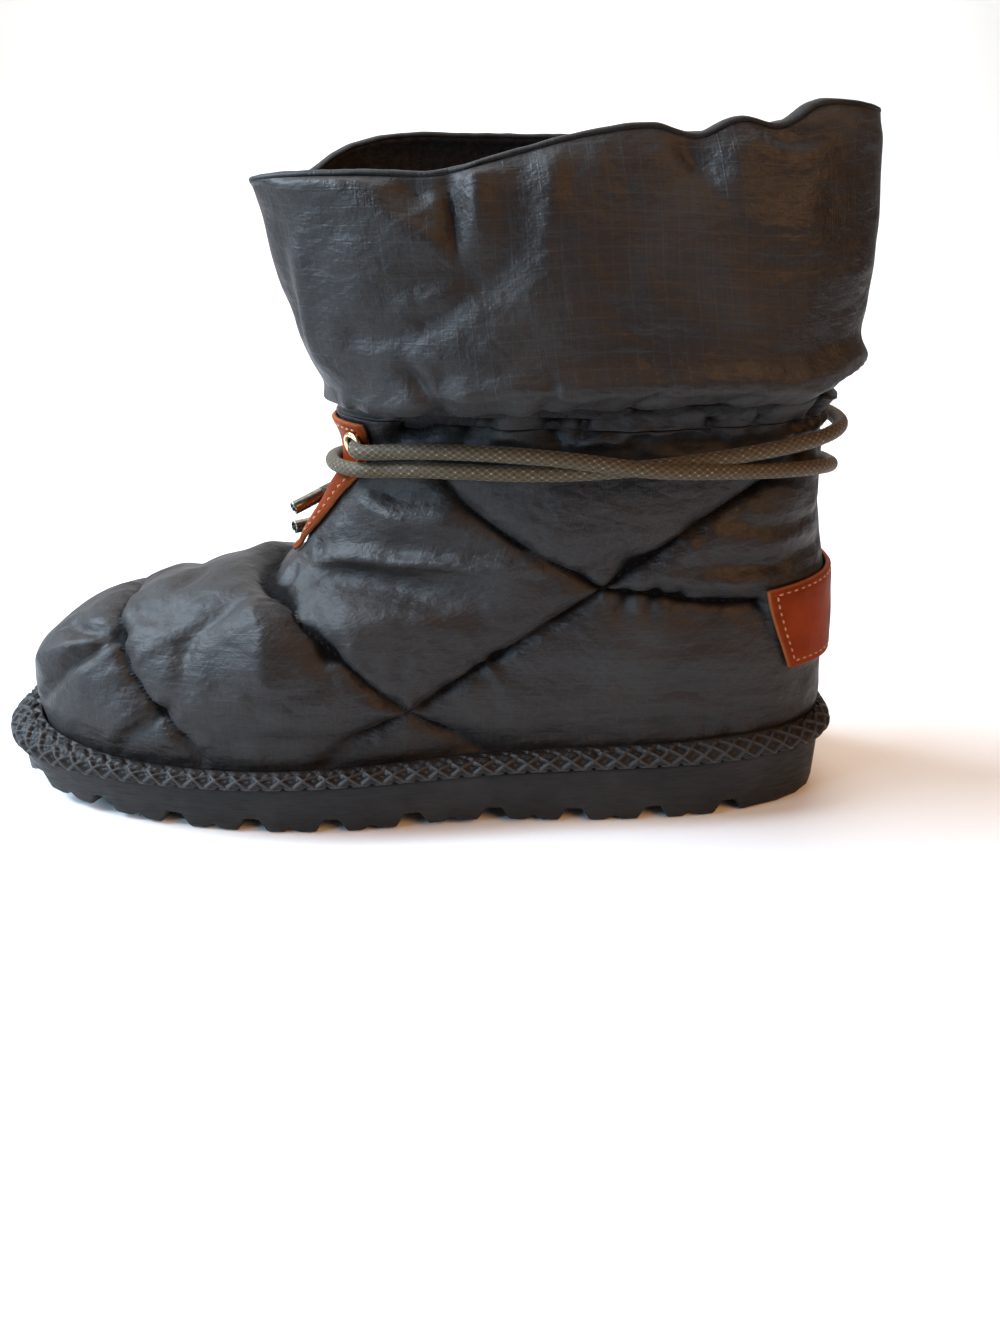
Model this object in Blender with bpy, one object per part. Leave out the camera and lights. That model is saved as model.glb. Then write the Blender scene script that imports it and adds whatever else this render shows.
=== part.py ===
"""Quilted snow boot for the left foot, standing empty on its sole.

The toe points along -X, the outer side faces -Y and +Z is up. The boot is an assembly: a lugged
outsole, a moulded welt, an insole, a quilted upper, a plain padded shaft with a bound collar, a
leather instep panel with two eyelets, a leather heel patch, and a cord that is wound twice round
the ankle and tied at the front.

One surface describes the whole boot leg. It is a stack of closed sections, each a loop from a point
on the heel profile to a point on the instep profile. A place on it is (level, turn): level runs up
the stack, turn runs round a section from the back, 0, by the outer side to the front, pi, and by the
inner side to the back again. Lengths are metres. A share is a share of the named size it follows.
"""

import math

import bmesh
import bpy
import numpy as np

# Driving sizes
SOLE_LENGTH = 0.284
BALL_WIDTH = 0.104
WAIST_WIDTH = 0.088
HEEL_WIDTH = 0.078
ANKLE_HEIGHT = 0.112
SHAFT_HEIGHT = 0.075
SHAFT_WIDTH = 0.094
TOE_SWING = 0.007
SWING_FROM = 0.45
ORIGIN_SHARE = 0.40

# Walls, layers and gaps
PIECE_GAP = 0.0003
OVERLAY_GAP = 0.0005
WELT_GAP = 0.0007
UPPER_WALL = 0.0062
SHAFT_WALL = 0.0040
LEATHER = 0.0016
INSOLE_THICKNESS = 0.0050

# Sole
HEEL_DECK = 0.0210
BALL_DECK = 0.0166
SOLE_DRAFT = 0.0008
EDGE_BEVEL = 0.0011
TOE_SPRING = 0.0045
TOE_SPRING_FROM = 0.74
TOE_SPRING_TO = 1.02
ARCH_LIFT = 0.0016
ARCH_AT = 0.44
ARCH_REACH = 0.15
LUG_PITCH = 0.0261
LUG_DEPTH = 0.0045
LUG_GAP = 0.0050
LUG_FLANK = 0.0026
NOTCH_DEPTH = 0.0018
NOTCH_WIDTH = 0.0056
LUG_EDGE = 0.0130
FIRST_LUG_GAP = 0.0370

# Welt
WELT_OVERHANG = 0.0024
WELT_HEIGHT = 0.0074
SOLE_EDGE_INSET = 0.0006

# The welt's outer side: shares of WELT_OVERHANG outwards and of its own height upwards. Its crown lies
# CROWN_OUT of the way from the upper to the last row, and CROWN_RISE of its height above both.
WELT_PROFILE = (
    # out, up
    (0.00, 0.00),
    (0.80, 0.16),
    (1.00, 0.42),
    (0.55, 0.70),
)
CROWN_OUT = 0.45
CROWN_RISE = 0.04

# Quilting
SEAM_DEPTH = 0.0040
SEAM_REACH = 0.0088

# Cord and trim
CORD_DIAMETER = 0.0045
TIP_LENGTH = 0.0118
TIP_DIAMETER = 0.0044
EYELET_OUTER = 0.0088
EYELET_HOLE = 0.0052
EYELET_HEIGHT = 0.0014
EYELET_PROFILE = (
    # share of the way from the hole to the rim, share of EYELET_HEIGHT
    (0.00, 0.0),
    (1.00, 0.0),
    (0.70, 1.0),
    (0.20, 1.0),
)
BINDING_HEIGHT = 0.0022
BINDING_PROFILE = (
    # share of half the wall's thickness outwards, share of BINDING_HEIGHT
    (0.96, 0.00),
    (-0.96, 0.00),
    (-0.96, 0.53),
    (-0.50, 1.00),
    (0.50, 1.00),
    (0.96, 0.53),
)

# Mesh fineness: places round a section outside and inside, levels up a wall outside and inside, and
# how much closer the places are along the sides than at the toe and the heel
UPPER_MESH = (72, 36, 26, 18)
SHAFT_MESH = (48, 48, 12, 5)
WELT_AROUND = 56
PATCH_MESH = (7, 11)
PANEL_MESH = (13, 9)
EYELET_SIDES = 14
TIP_SIDES = 12
KNOT_MESH = (10, 7)
CORD_ROUNDNESS = 2
SIDE_CLOSENESS = 0.30

# How far to each side a normal is taken from, in levels and in turn
NORMAL_REACH = 0.40
NORMAL_TURN = 0.05

# Levels over which a wall's normal lies flat at its two ends, and over which the padding fills out
# above the sole, runs out below the ankle seam, and the shaft's dents begin
FLAT_REACH = 0.8
FULL_ABOVE_SOLE = 2.5
FULL_BELOW_SEAM = 4.0
DENTS_ABOVE_SEAM = 1.5
SIDE_BLEND = 2.5

# Sole outline. Columns: share along from the heel, then the outer and inner half width as shares of
# the half width that the station follows.
SOLE_STATIONS = (
    # along, outer, inner, follows
    (0.13, 0.98, 0.96, "heel"),
    (0.40, 1.02, 0.92, "waist"),
    (0.68, 1.01, 0.97, "ball"),
    (0.88, 0.84, 0.86, "ball"),
)
SOLE_ROUNDNESS = 0.66
SOLE_HEEL_PLACES = (0.004, 0.016, 0.036, 0.064)
SOLE_TOE_PLACES = (0.952, 0.968, 0.984, 0.996)
LUGS_TO = 0.97

# Height of the sole's deck, and of the welt's inner top edge above it as a share of WELT_HEIGHT.
DECK = (
    # along, share of the way from BALL_DECK to HEEL_DECK, welt rise
    (0.00, 1.00, 1.02),
    (0.15, 1.00, 1.00),
    (0.40, 0.72, 0.86),
    (0.58, 0.28, 0.78),
    (0.72, 0.00, 0.76),
    (0.86, -0.20, 0.92),
    (0.94, -0.22, 1.20),
    (1.00, -0.22, 1.50),
)

# Sections of the foot. front and back are shares of SOLE_LENGTH from the heel, the heights shares of
# ANKLE_HEIGHT. The widths are half widths at the heel, waist, ball and toe of the section, as shares
# of half HEEL_WIDTH, WAIST_WIDTH, BALL_WIDTH and BALL_WIDTH. round is how round the two ends are:
# under 1 is squarer. follow is how much the section keeps the deck's curve.
FOOT_SECTIONS = (
    # front, front_z, back, back_z, heel, waist, ball, toe, round_front, round_back, follow
    (0.955, 0.160, 0.024, 0.190, 0.82, 0.80, 0.84, 0.71, 0.70, 0.68, 1.00),
    (0.963, 0.262, 0.019, 0.262, 0.88, 0.85, 0.89, 0.73, 0.70, 0.68, 0.80),
    (0.963, 0.340, 0.018, 0.340, 0.91, 0.88, 0.90, 0.72, 0.70, 0.68, 0.50),
    (0.954, 0.415, 0.018, 0.402, 0.91, 0.89, 0.89, 0.70, 0.70, 0.70, 0.30),
    (0.932, 0.475, 0.019, 0.462, 0.91, 0.89, 0.87, 0.67, 0.72, 0.72, 0.15),
    (0.898, 0.530, 0.020, 0.516, 0.90, 0.89, 0.84, 0.64, 0.74, 0.74, 0.05),
    (0.855, 0.580, 0.022, 0.565, 0.89, 0.88, 0.81, 0.60, 0.76, 0.74, 0.00),
    (0.803, 0.621, 0.024, 0.610, 0.88, 0.87, 0.78, 0.55, 0.78, 0.76, 0.00),
    (0.746, 0.651, 0.026, 0.650, 0.87, 0.86, 0.74, 0.50, 0.78, 0.78, 0.00),
    (0.690, 0.678, 0.028, 0.690, 0.86, 0.86, 0.70, 0.47, 0.82, 0.80, 0.00),
    (0.636, 0.714, 0.031, 0.730, 0.85, 0.86, 0.67, 0.46, 0.86, 0.82, 0.00),
    (0.619, 0.776, 0.035, 0.782, 0.83, 0.87, 0.66, 0.45, 0.88, 0.82, 0.00),
    (0.600, 0.846, 0.039, 0.842, 0.80, 0.88, 0.65, 0.45, 0.90, 0.82, 0.00),
    (0.584, 0.912, 0.043, 0.906, 0.76, 0.87, 0.64, 0.45, 0.90, 0.82, 0.00),
    (0.569, 0.970, 0.047, 0.966, 0.73, 0.86, 0.63, 0.45, 0.90, 0.82, 0.00),
    (0.567, 1.020, 0.049, 1.020, 0.73, 0.85, 0.63, 0.45, 0.90, 0.82, 0.00),
    (0.570, 1.075, 0.046, 1.080, 0.75, 0.87, 0.65, 0.47, 0.88, 0.82, 0.00),
    (0.580, 1.130, 0.041, 1.135, 0.81, 0.93, 0.70, 0.51, 0.84, 0.80, 0.00),
)
SEAM_LEVEL = len(FOOT_SECTIONS) - 1

# Sections of the shaft. Heights are shares of SHAFT_HEIGHT above the ankle seam and widths shares of
# half SHAFT_WIDTH. skew moves the inner side of the front back, as a share of the half width there.
SHAFT_SECTIONS = (
    # front, front_z, back, back_z, heel, waist, ball, toe, round_front, round_back, skew
    (0.588, 0.045, 0.035, 0.050, 0.84, 0.97, 0.92, 0.72, 0.76, 0.76, 0.00),
    (0.588, 0.130, 0.034, 0.130, 0.88, 1.01, 0.97, 0.76, 0.72, 0.74, 0.00),
    (0.603, 0.250, 0.033, 0.250, 0.90, 1.03, 1.00, 0.78, 0.68, 0.74, 0.03),
    (0.615, 0.400, 0.031, 0.405, 0.89, 1.02, 0.99, 0.78, 0.64, 0.72, 0.08),
    (0.627, 0.543, 0.031, 0.560, 0.86, 0.99, 0.96, 0.77, 0.60, 0.70, 0.16),
    (0.631, 0.677, 0.033, 0.730, 0.81, 0.93, 0.91, 0.75, 0.54, 0.68, 0.25),
    (0.638, 0.780, 0.036, 0.885, 0.73, 0.85, 0.85, 0.72, 0.46, 0.66, 0.33),
    (0.642, 0.804, 0.039, 0.985, 0.65, 0.76, 0.77, 0.67, 0.40, 0.64, 0.36),
)
TOP_LEVEL = SEAM_LEVEL + len(SHAFT_SECTIONS)

# How far the collar's edge stands above or below a straight line from back to front, as shares of
# SHAFT_HEIGHT, for the outer and the inner side.
COLLAR_EDGE = (
    # along, outer, inner
    (0.00, 0.056, 0.056),
    (0.07, 0.082, 0.070),
    (0.13, 0.086, 0.060),
    (0.18, 0.032, 0.050),
    (0.25, 0.060, 0.060),
    (0.31, 0.022, 0.066),
    (0.37, 0.062, 0.072),
    (0.46, 0.060, 0.090),
    (0.60, 0.013, 0.120),
    (0.69, -0.018, 0.138),
    (0.80, 0.004, 0.160),
    (0.88, 0.018, 0.155),
    (0.96, 0.026, 0.100),
    (1.00, 0.024, 0.024),
)
COLLAR_REACH = 3.2

# Quilting seams, alike on both sides, as (share along from the heel, share of ANKLE_HEIGHT).
TOE_SEAM = ((0.829, 0.640), (0.825, 0.598), (0.811, 0.522), (0.792, 0.415), (0.762, 0.308), (0.711, 0.180))
VAMP_SEAM = (
    (0.640, 0.735), (0.642, 0.690), (0.624, 0.630), (0.588, 0.549),
    (0.542, 0.446), (0.501, 0.363), (0.465, 0.304), (0.433, 0.240),
)
RISING_SEAM = ((0.563, 0.230), (0.501, 0.363), (0.391, 0.565), (0.296, 0.723), (0.203, 0.857), (0.142, 0.955))
QUARTER_SEAM = ((0.460, 0.990), (0.421, 0.884), (0.371, 0.807), (0.296, 0.723), (0.249, 0.696), (0.040, 0.640))
SEAMS = (TOE_SEAM, VAMP_SEAM, RISING_SEAM, QUARTER_SEAM)

# Soft dents in the shaft: side (-1 outer, 1 inner), share along, share of SHAFT_HEIGHT, reach along
# and up as shares of SHAFT_HEIGHT, and depth as a share of SHAFT_WALL. A negative depth is a ridge.
SHAFT_DENTS = (
    (-1, 0.455, 0.74, 0.10, 0.30, 0.90),
    (-1, 0.500, 0.80, 0.16, 0.22, -0.50),
    (-1, 0.380, 0.56, 0.50, 0.16, 0.80),
    (-1, 0.590, 0.55, 0.12, 0.22, 1.10),
    (-1, 0.250, 0.34, 0.60, 0.26, -0.60),
    (-1, 0.120, 0.12, 0.22, 0.14, 0.90),
    (1, 0.420, 0.50, 0.40, 0.24, 0.90),
    (1, 0.180, 0.62, 0.24, 0.30, 0.70),
)

# Heel patch: lower and upper level at the back, how far its two ends reach round the heel there, and
# how far the upper edge falls towards its ends.
PATCH_LEVELS = (3.75, 9.55)
PATCH_TURNS = (0.52, 0.76)
PATCH_DROP = 0.35

# Instep panel: its levels, and its half width as a share of half PANEL_WIDTH on the way up
PANEL_WIDTH = 0.042
PANEL_LEVELS = (9.95, 16.75)
PANEL_SHAPE = (
    # share of the way up, width
    (0.00, 0.12),
    (0.20, 0.38),
    (0.43, 0.57),
    (0.66, 0.74),
    (1.00, 1.00),
)
EYELET_LEVEL = 15.75
EYELET_ASIDE = 0.76

# Levels of the two strands of the ankle cord. part counts half turns from the front: 1 is the back and
# 2 the front again. Each leaves its own side's eyelet, and both end at the knot.
STRAND_FROM_OUTER = (
    # part, level
    (0.30, 16.10),
    (0.50, 16.15),
    (0.72, 15.70),
    (1.00, 14.20),
    (1.40, 13.90),
    (1.80, 13.80),
)
STRAND_FROM_INNER = (
    (0.30, 16.10),
    (0.60, 16.30),
    (1.00, 16.50),
    (1.28, 15.65),
    (1.50, 15.20),
    (1.72, 15.00),
    (1.90, 14.30),
    (2.00, 13.95),
    (2.30, 13.80),
)
CROSSING_TURN = 0.88
CROSSING_REACH = 0.28
KNOT_LEVEL = 13.75
KNOT_TURN = 3.80
KNOT_LENGTH = 0.0130
KNOT_THICKNESS = 0.0085
STRAND_STEPS = 140
STRAND_SPACING = 2.5
STRAND_GAP = 0.0009
CROSSING_LIFT = 0.75
END_SPACING = 1.8
TIP_RIM = 0.12
PANEL_MARGIN = 0.16

# Routes of the cord's free ends over the instep, from the knot to the tip's far end. stand is how far
# the cord's underside is from the leather, as a share of its diameter.
END_ROUTES = {
    "outer": (
        # level, turn, stand
        (12.10, 3.56, 0.12),
        (11.60, 3.40, 0.25),
        (10.70, 3.32, 0.90),
        (9.90, 3.27, 1.40),
    ),
    "inner": (
        (11.30, 3.92, 0.05),
        (10.50, 3.76, 0.02),
        (10.15, 3.58, 0.00),
        (10.00, 3.42, 0.00),
        (9.95, 3.28, 0.00),
    ),
}

COLORS = {
    # colour, roughness, metallic
    "nylon": ((0.030, 0.030, 0.034), 0.42, 0.0),
    "binding": ((0.010, 0.010, 0.011), 0.60, 0.0),
    "foam_rubber": ((0.028, 0.028, 0.030), 0.75, 0.0),
    "welt_rubber": ((0.022, 0.021, 0.021), 0.62, 0.0),
    "leather": ((0.250, 0.062, 0.018), 0.50, 0.0),
    "brass": ((0.720, 0.520, 0.260), 0.28, 1.0),
    "gunmetal": ((0.300, 0.290, 0.270), 0.30, 1.0),
    "cord": ((0.095, 0.078, 0.058), 0.70, 0.0),
    "lining": ((0.030, 0.029, 0.029), 0.95, 0.0),
}


def smooth_through(xs, ys, x):
    """Cubic curve through the points. ys holds the values in its last axis; x may be an array."""
    xs = np.asarray(xs, float)
    ys = np.asarray(ys, float)
    slopes = np.gradient(ys, xs, axis=-1)
    x = np.clip(x, xs[0], xs[-1])
    i = np.clip(np.searchsorted(xs, x, side="right") - 1, 0, len(xs) - 2)
    step = xs[i + 1] - xs[i]
    u = (x - xs[i]) / step
    low, high = np.take(ys, i, axis=-1), np.take(ys, i + 1, axis=-1)
    leave, arrive = np.take(slopes, i, axis=-1) * step, np.take(slopes, i + 1, axis=-1) * step
    return (
        low * (1 + 2 * u) * (1 - u) ** 2
        + high * u * u * (3 - 2 * u)
        + leave * u * (1 - u) ** 2
        + arrive * u * u * (u - 1)
    )


def soft_step(x):
    x = np.clip(x, 0.0, 1.0)
    return x * x * (3 - 2 * x)


def along_x(share):
    """x of a share of the sole's length from the heel."""
    return (ORIGIN_SHARE - np.asarray(share)) * SOLE_LENGTH


def share_at(x):
    """Share of the sole's length from the heel at x."""
    return ORIGIN_SHARE - x / SOLE_LENGTH


def deck_height(share):
    """Top of the sole at a share along from the heel."""
    table = np.array(DECK)
    return BALL_DECK + (HEEL_DECK - BALL_DECK) * smooth_through(table[:, 0], table[:, 1], share)


def welt_rise(share):
    """Height of the welt's inner edge above the deck."""
    table = np.array(DECK)
    return WELT_HEIGHT * smooth_through(table[:, 0], table[:, 2], share)


def swing(share):
    """Sideways curve of the foot's middle line: the toe turns to the inner side."""
    return TOE_SWING * soft_step((np.asarray(share) - SWING_FROM) / (1 - SWING_FROM))


# The plan outline of the sole


def sole_outline(turn, out=0.0):
    """(x, y) of the sole's edge at these turns, moved outwards in plan by out."""
    turn = np.asarray(turn, float)

    def edge(a):
        share = (1 - np.cos(a)) / 2
        stations = np.array([row[0] for row in SOLE_STATIONS])
        followed = {"heel": HEEL_WIDTH / 2, "waist": WAIST_WIDTH / 2, "ball": BALL_WIDTH / 2}
        ends = (2 * np.sqrt(stations * (1 - stations))) ** SOLE_ROUNDNESS
        outer = np.array([row[1] * followed[row[3]] for row in SOLE_STATIONS]) / ends
        inner = np.array([row[2] * followed[row[3]] for row in SOLE_STATIONS]) / ends
        is_outer = np.sin(a) >= 0
        width = np.where(
            is_outer, smooth_through(stations, outer, share), smooth_through(stations, inner, share)
        )
        half = width * np.abs(np.sin(a)) ** SOLE_ROUNDNESS
        return np.stack([along_x(share), swing(share) - np.where(is_outer, half, -half)], -1)

    here = edge(turn)
    along = edge(turn + NORMAL_TURN / 2) - edge(turn - NORMAL_TURN / 2)
    length = np.linalg.norm(along, axis=-1, keepdims=True)
    normal = np.stack([-along[..., 1], along[..., 0]], -1) / length
    return here + normal * out


# The boot leg's surface


def section_values():
    """One row for each section, in metres: front x share, front z, back share, back z, four half
    widths, two roundnesses, follow and skew."""
    seam_front = FOOT_SECTIONS[-1][1] * ANKLE_HEIGHT
    seam_back = FOOT_SECTIONS[-1][3] * ANKLE_HEIGHT
    rows = []
    for front, front_z, back, back_z, heel, waist, ball, toe, near, far, follow in FOOT_SECTIONS:
        rows.append([
            front, front_z * ANKLE_HEIGHT, back, back_z * ANKLE_HEIGHT,
            heel * HEEL_WIDTH / 2, waist * WAIST_WIDTH / 2, ball * BALL_WIDTH / 2, toe * BALL_WIDTH / 2,
            near, far, follow, 0.0,
        ])
    for front, front_z, back, back_z, heel, waist, ball, toe, near, far, skew in SHAFT_SECTIONS:
        rows.append([
            front, seam_front + front_z * SHAFT_HEIGHT, back, seam_back + back_z * SHAFT_HEIGHT,
            *(share * SHAFT_WIDTH / 2 for share in (heel, waist, ball, toe)),
            near, far, 0.0, skew,
        ])
    return np.array(rows)


SECTIONS = section_values()
WIDTH_STATIONS = np.array([0.15, 0.42, 0.70, 0.88])


def seam_distance(share, height):
    """Distance in the side view from the nearest quilting seam."""
    nearest = np.full(np.shape(share), 1.0)
    x, z = share * SOLE_LENGTH, height
    for seam in SEAMS:
        points = np.array(seam) * (SOLE_LENGTH, ANKLE_HEIGHT)
        for start, end in zip(points[:-1], points[1:]):
            run = end - start
            u = np.clip(((x - start[0]) * run[0] + (z - start[1]) * run[1]) / (run @ run), 0, 1)
            away = np.hypot(x - start[0] - u * run[0], z - start[1] - u * run[1])
            nearest = np.minimum(nearest, away)
    return nearest


def leg_base(level, turn, inset=0.0):
    """Points of the full boot leg, before seams and dents. inset makes each section smaller all round."""
    level, turn = np.broadcast_arrays(np.asarray(level, float), np.asarray(turn, float))
    table = smooth_through(np.arange(len(SECTIONS)), SECTIONS.T, level)
    front, front_z, back, back_z = table[:4]
    front, back = front - inset / SOLE_LENGTH, back + inset / SOLE_LENGTH
    round_front, round_back, follow, skew = table[8:]
    along = (1 - np.cos(turn)) / 2
    share = back + (front - back) * along
    ends = np.where(along > 0.5, round_front, round_back)
    widths = []
    for i, station in enumerate(WIDTH_STATIONS):
        at_station = np.where(station > 0.5, round_front, round_back)
        widths.append((table[4 + i] - inset) / (2 * math.sqrt(station * (1 - station))) ** at_station)
    widths = np.stack(widths, -1)
    slopes = np.gradient(widths, WIDTH_STATIONS, axis=-1)
    clipped = np.clip(along, WIDTH_STATIONS[0], WIDTH_STATIONS[-1])
    i = np.clip(np.searchsorted(WIDTH_STATIONS, clipped, side="right") - 1, 0, 2)
    step = WIDTH_STATIONS[i + 1] - WIDTH_STATIONS[i]
    u = (clipped - WIDTH_STATIONS[i]) / step

    def pick(values, index):
        return np.take_along_axis(values, index[..., None], -1)[..., 0]

    width = (
        pick(widths, i) * (1 + 2 * u) * (1 - u) ** 2
        + pick(widths, i + 1) * u * u * (3 - 2 * u)
        + pick(slopes, i) * step * u * (1 - u) ** 2
        + pick(slopes, i + 1) * step * u * u * (u - 1)
    )
    sine = np.sin(turn)
    half = width * np.abs(sine) ** ends * np.sign(sine)
    x = along_x(share) + skew * np.maximum(-half, 0) * along ** 3
    y = swing(share) - half
    straight = back_z + (front_z - back_z) * along
    deck_line = deck_height(back) + (deck_height(front) - deck_height(back)) * along
    z = straight + follow * (deck_height(share) - deck_line)
    bottom = np.clip(1 - level, 0, 1)
    z = z * (1 - bottom) + (deck_height(share) + PIECE_GAP) * bottom
    edge = np.array(COLLAR_EDGE)
    rise = np.where(
        sine >= 0,
        smooth_through(edge[:, 0], edge[:, 1], along),
        smooth_through(edge[:, 0], edge[:, 2], along),
    )
    z = z + rise * SHAFT_HEIGHT * soft_step((level - TOP_LEVEL + COLLAR_REACH) / COLLAR_REACH)
    return np.stack([x, y, z], -1)


def leg_normal(level, turn):
    """Outward normals of the base surface, level at the bottom, at the ankle seam and at the collar."""
    level, turn = np.broadcast_arrays(np.asarray(level, float), np.asarray(turn, float))
    low, high = np.clip(level - NORMAL_REACH, 0, TOP_LEVEL), np.clip(level + NORMAL_REACH, 0, TOP_LEVEL)
    up = leg_base(high, turn) - leg_base(low, turn)
    round_it = leg_base(level, turn + NORMAL_TURN) - leg_base(level, turn - NORMAL_TURN)
    normal = np.cross(up, round_it)
    edges = np.minimum(np.minimum(np.abs(level), np.abs(level - SEAM_LEVEL)), np.abs(level - TOP_LEVEL))
    flat = np.cross(np.array([0.0, 0.0, 1.0]), round_it)
    flat[..., 2] = 0
    flat /= np.linalg.norm(flat, axis=-1, keepdims=True)
    normal /= np.linalg.norm(normal, axis=-1, keepdims=True)
    level_part = np.clip(1 - edges / FLAT_REACH, 0, 1)[..., None]
    normal = normal * (1 - level_part) + flat * level_part
    return normal / np.linalg.norm(normal, axis=-1, keepdims=True)


def fullness(level):
    """1 where the padding swells, 0 at the feather line, at the ankle seam and above."""
    above_sole = soft_step(np.asarray(level, float) / FULL_ABOVE_SOLE)
    return above_sole * soft_step((SEAM_LEVEL - level) / FULL_BELOW_SEAM)


def relief(level, turn, points):
    """How far the padding lies under the full surface: quilted seams below, soft dents above."""
    share = share_at(points[..., 0])
    height = points[..., 2]
    near = np.exp(-((seam_distance(share, height) / SEAM_REACH) ** 2))
    seam = SEAM_DEPTH * near * fullness(level)
    seam_z = FOOT_SECTIONS[-1][1] * ANKLE_HEIGHT
    dent = np.zeros_like(seam)
    for side, at, up, reach_along, reach_up, depth in SHAFT_DENTS:
        far = ((share - at) * SOLE_LENGTH / (reach_along * SHAFT_HEIGHT)) ** 2
        far = far + ((height - seam_z) / SHAFT_HEIGHT - up) ** 2 / reach_up ** 2
        on_side = np.clip(0.5 - side * np.sin(turn) * SIDE_BLEND, 0, 1)
        dent += depth * SHAFT_WALL * np.exp(-far) * on_side
    above = soft_step((level - SEAM_LEVEL) / DENTS_ABOVE_SEAM)
    return -seam - dent * above


def leg_point(level, turn, out=0.0, padded=True):
    """Points on the boot leg, out metres outside it. padded follows seams and dents; without it the
    surface is the full one, on which leather and cord lie."""
    base = leg_base(level, turn)
    lift = relief(level, turn, base) if padded else np.zeros(base.shape[:-1])
    return base + leg_normal(level, turn) * (lift + out)[..., None]


def lining_point(level, turn, wall):
    """Points on the inside of a wall: the full surface moved in, or its sections made smaller where the
    wall stands upright above the ankle seam."""
    moved_in = leg_base(level, turn) - leg_normal(level, turn) * wall
    smaller = leg_base(level, turn, wall)
    upright = soft_step(level - SEAM_LEVEL)[..., None]
    return moved_in * (1 - upright) + smaller * upright


# Making objects


def material(name):
    found = bpy.data.materials.get(name)
    if found:
        return found
    color, roughness, metallic = COLORS[name]
    made = bpy.data.materials.new(name)
    made.use_nodes = True
    shader = made.node_tree.nodes["Principled BSDF"]
    shader.inputs["Base Color"].default_value = (*color, 1.0)
    shader.inputs["Roughness"].default_value = roughness
    shader.inputs["Metallic"].default_value = metallic
    made.diffuse_color = (*color, 1.0)
    return made


def add_solid(name, points, faces, finish, sharp=40.0):
    """A closed mesh object with its faces turned outwards."""
    mesh = bpy.data.meshes.new(name)
    mesh.from_pydata([tuple(map(float, p)) for p in points], [], faces)
    work = bmesh.new()
    work.from_mesh(mesh)
    bmesh.ops.recalc_face_normals(work, faces=work.faces)
    work.to_mesh(mesh)
    work.free()
    mesh.shade_smooth()
    mesh.set_sharp_from_angle(angle=math.radians(sharp))
    made = bpy.data.objects.new(name, mesh)
    bpy.context.scene.collection.objects.link(made)
    mesh.materials.append(material(finish))
    return made


class Loops:
    """Collects closed loops of points and the faces between them."""

    def __init__(self):
        self.points = []
        self.faces = []

    def loop(self, points):
        first = len(self.points)
        self.points.extend(points)
        return list(range(first, first + len(points)))

    def band(self, a, b):
        """Faces between two closed loops of the same length, or of twice the length."""
        if len(a) == 2 * len(b):
            a, b = b, a
        ratio = len(b) // len(a)
        for i in range(len(a)):
            j = (i + 1) % len(a)
            if ratio == 1:
                self.faces.append((a[i], a[j], b[j], b[i]))
                continue
            first, middle, last = b[2 * i], b[2 * i + 1], b[(2 * i + 2) % len(b)]
            self.faces.append((a[i], middle, first))
            self.faces.append((a[i], a[j], middle))
            self.faces.append((a[j], last, middle))

    def ladder(self, ring):
        """Closes a loop that runs from the heel round the toe by strips from side to side."""
        half = len(ring) // 2
        for i in range(half):
            left = [ring[i], ring[i + 1]]
            right = [ring[-i - 1] if i + 1 < half else None, ring[-i] if i else None]
            self.faces.append(tuple(v for v in left + right if v is not None))


def turns(count):
    even = np.arange(count) * 2 * math.pi / count
    return even + SIDE_CLOSENESS / 2 * np.sin(2 * even)


def open_tube(name, levels, fineness, wall, finish, lift=0.0):
    """A wall between two levels of the leg, open above and below."""
    outer_count, inner_count, outer_rows, inner_rows = fineness
    outer_turns, inner_turns = turns(outer_count), turns(inner_count)
    loops = Loops()
    up = np.array([0, 0, lift])
    outer = [
        loops.loop(leg_point(np.full(outer_count, level), outer_turns) + up)
        for level in np.linspace(*levels, outer_rows)
    ]
    inner = [
        loops.loop(lining_point(np.full(inner_count, level), inner_turns, wall) + up)
        for level in np.linspace(*levels, inner_rows)
    ]
    for stack in (outer, inner):
        for a, b in zip(stack[:-1], stack[1:]):
            loops.band(a, b)
    loops.band(outer[0], inner[0])
    loops.band(outer[-1], inner[-1])
    return add_solid(name, loops.points, loops.faces, finish, sharp=50)


def patch(name, level_of, turn_of, fineness):
    """A leather overlay cut from the leg's own surface. level_of and turn_of map (up, across)."""
    rows, columns = fineness
    up, across = np.meshgrid(np.linspace(0, 1, rows), np.linspace(-1, 1, columns), indexing="ij")
    level, turn = level_of(up, across), turn_of(up, across)
    under = leg_point(level, turn, np.full(up.shape, OVERLAY_GAP), padded=False).reshape(-1, 3)
    over = leg_point(level, turn, np.full(up.shape, OVERLAY_GAP + LEATHER), padded=False).reshape(-1, 3)
    points = list(under) + list(over)
    faces = []
    count = rows * columns

    def at(r, c, side):
        return side * count + r * columns + c

    for r in range(rows - 1):
        for c in range(columns - 1):
            for side in (0, 1):
                faces.append((at(r, c, side), at(r, c + 1, side), at(r + 1, c + 1, side), at(r + 1, c, side)))
    edge = [(0, c) for c in range(columns)] + [(r, columns - 1) for r in range(1, rows)]
    edge += [(rows - 1, c) for c in range(columns - 2, -1, -1)] + [(r, 0) for r in range(rows - 2, 0, -1)]
    for (r0, c0), (r1, c1) in zip(edge, edge[1:] + edge[:1]):
        faces.append((at(r0, c0, 0), at(r1, c1, 0), at(r1, c1, 1), at(r0, c0, 1)))
    return add_solid(name, points, faces, "leather")


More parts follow.
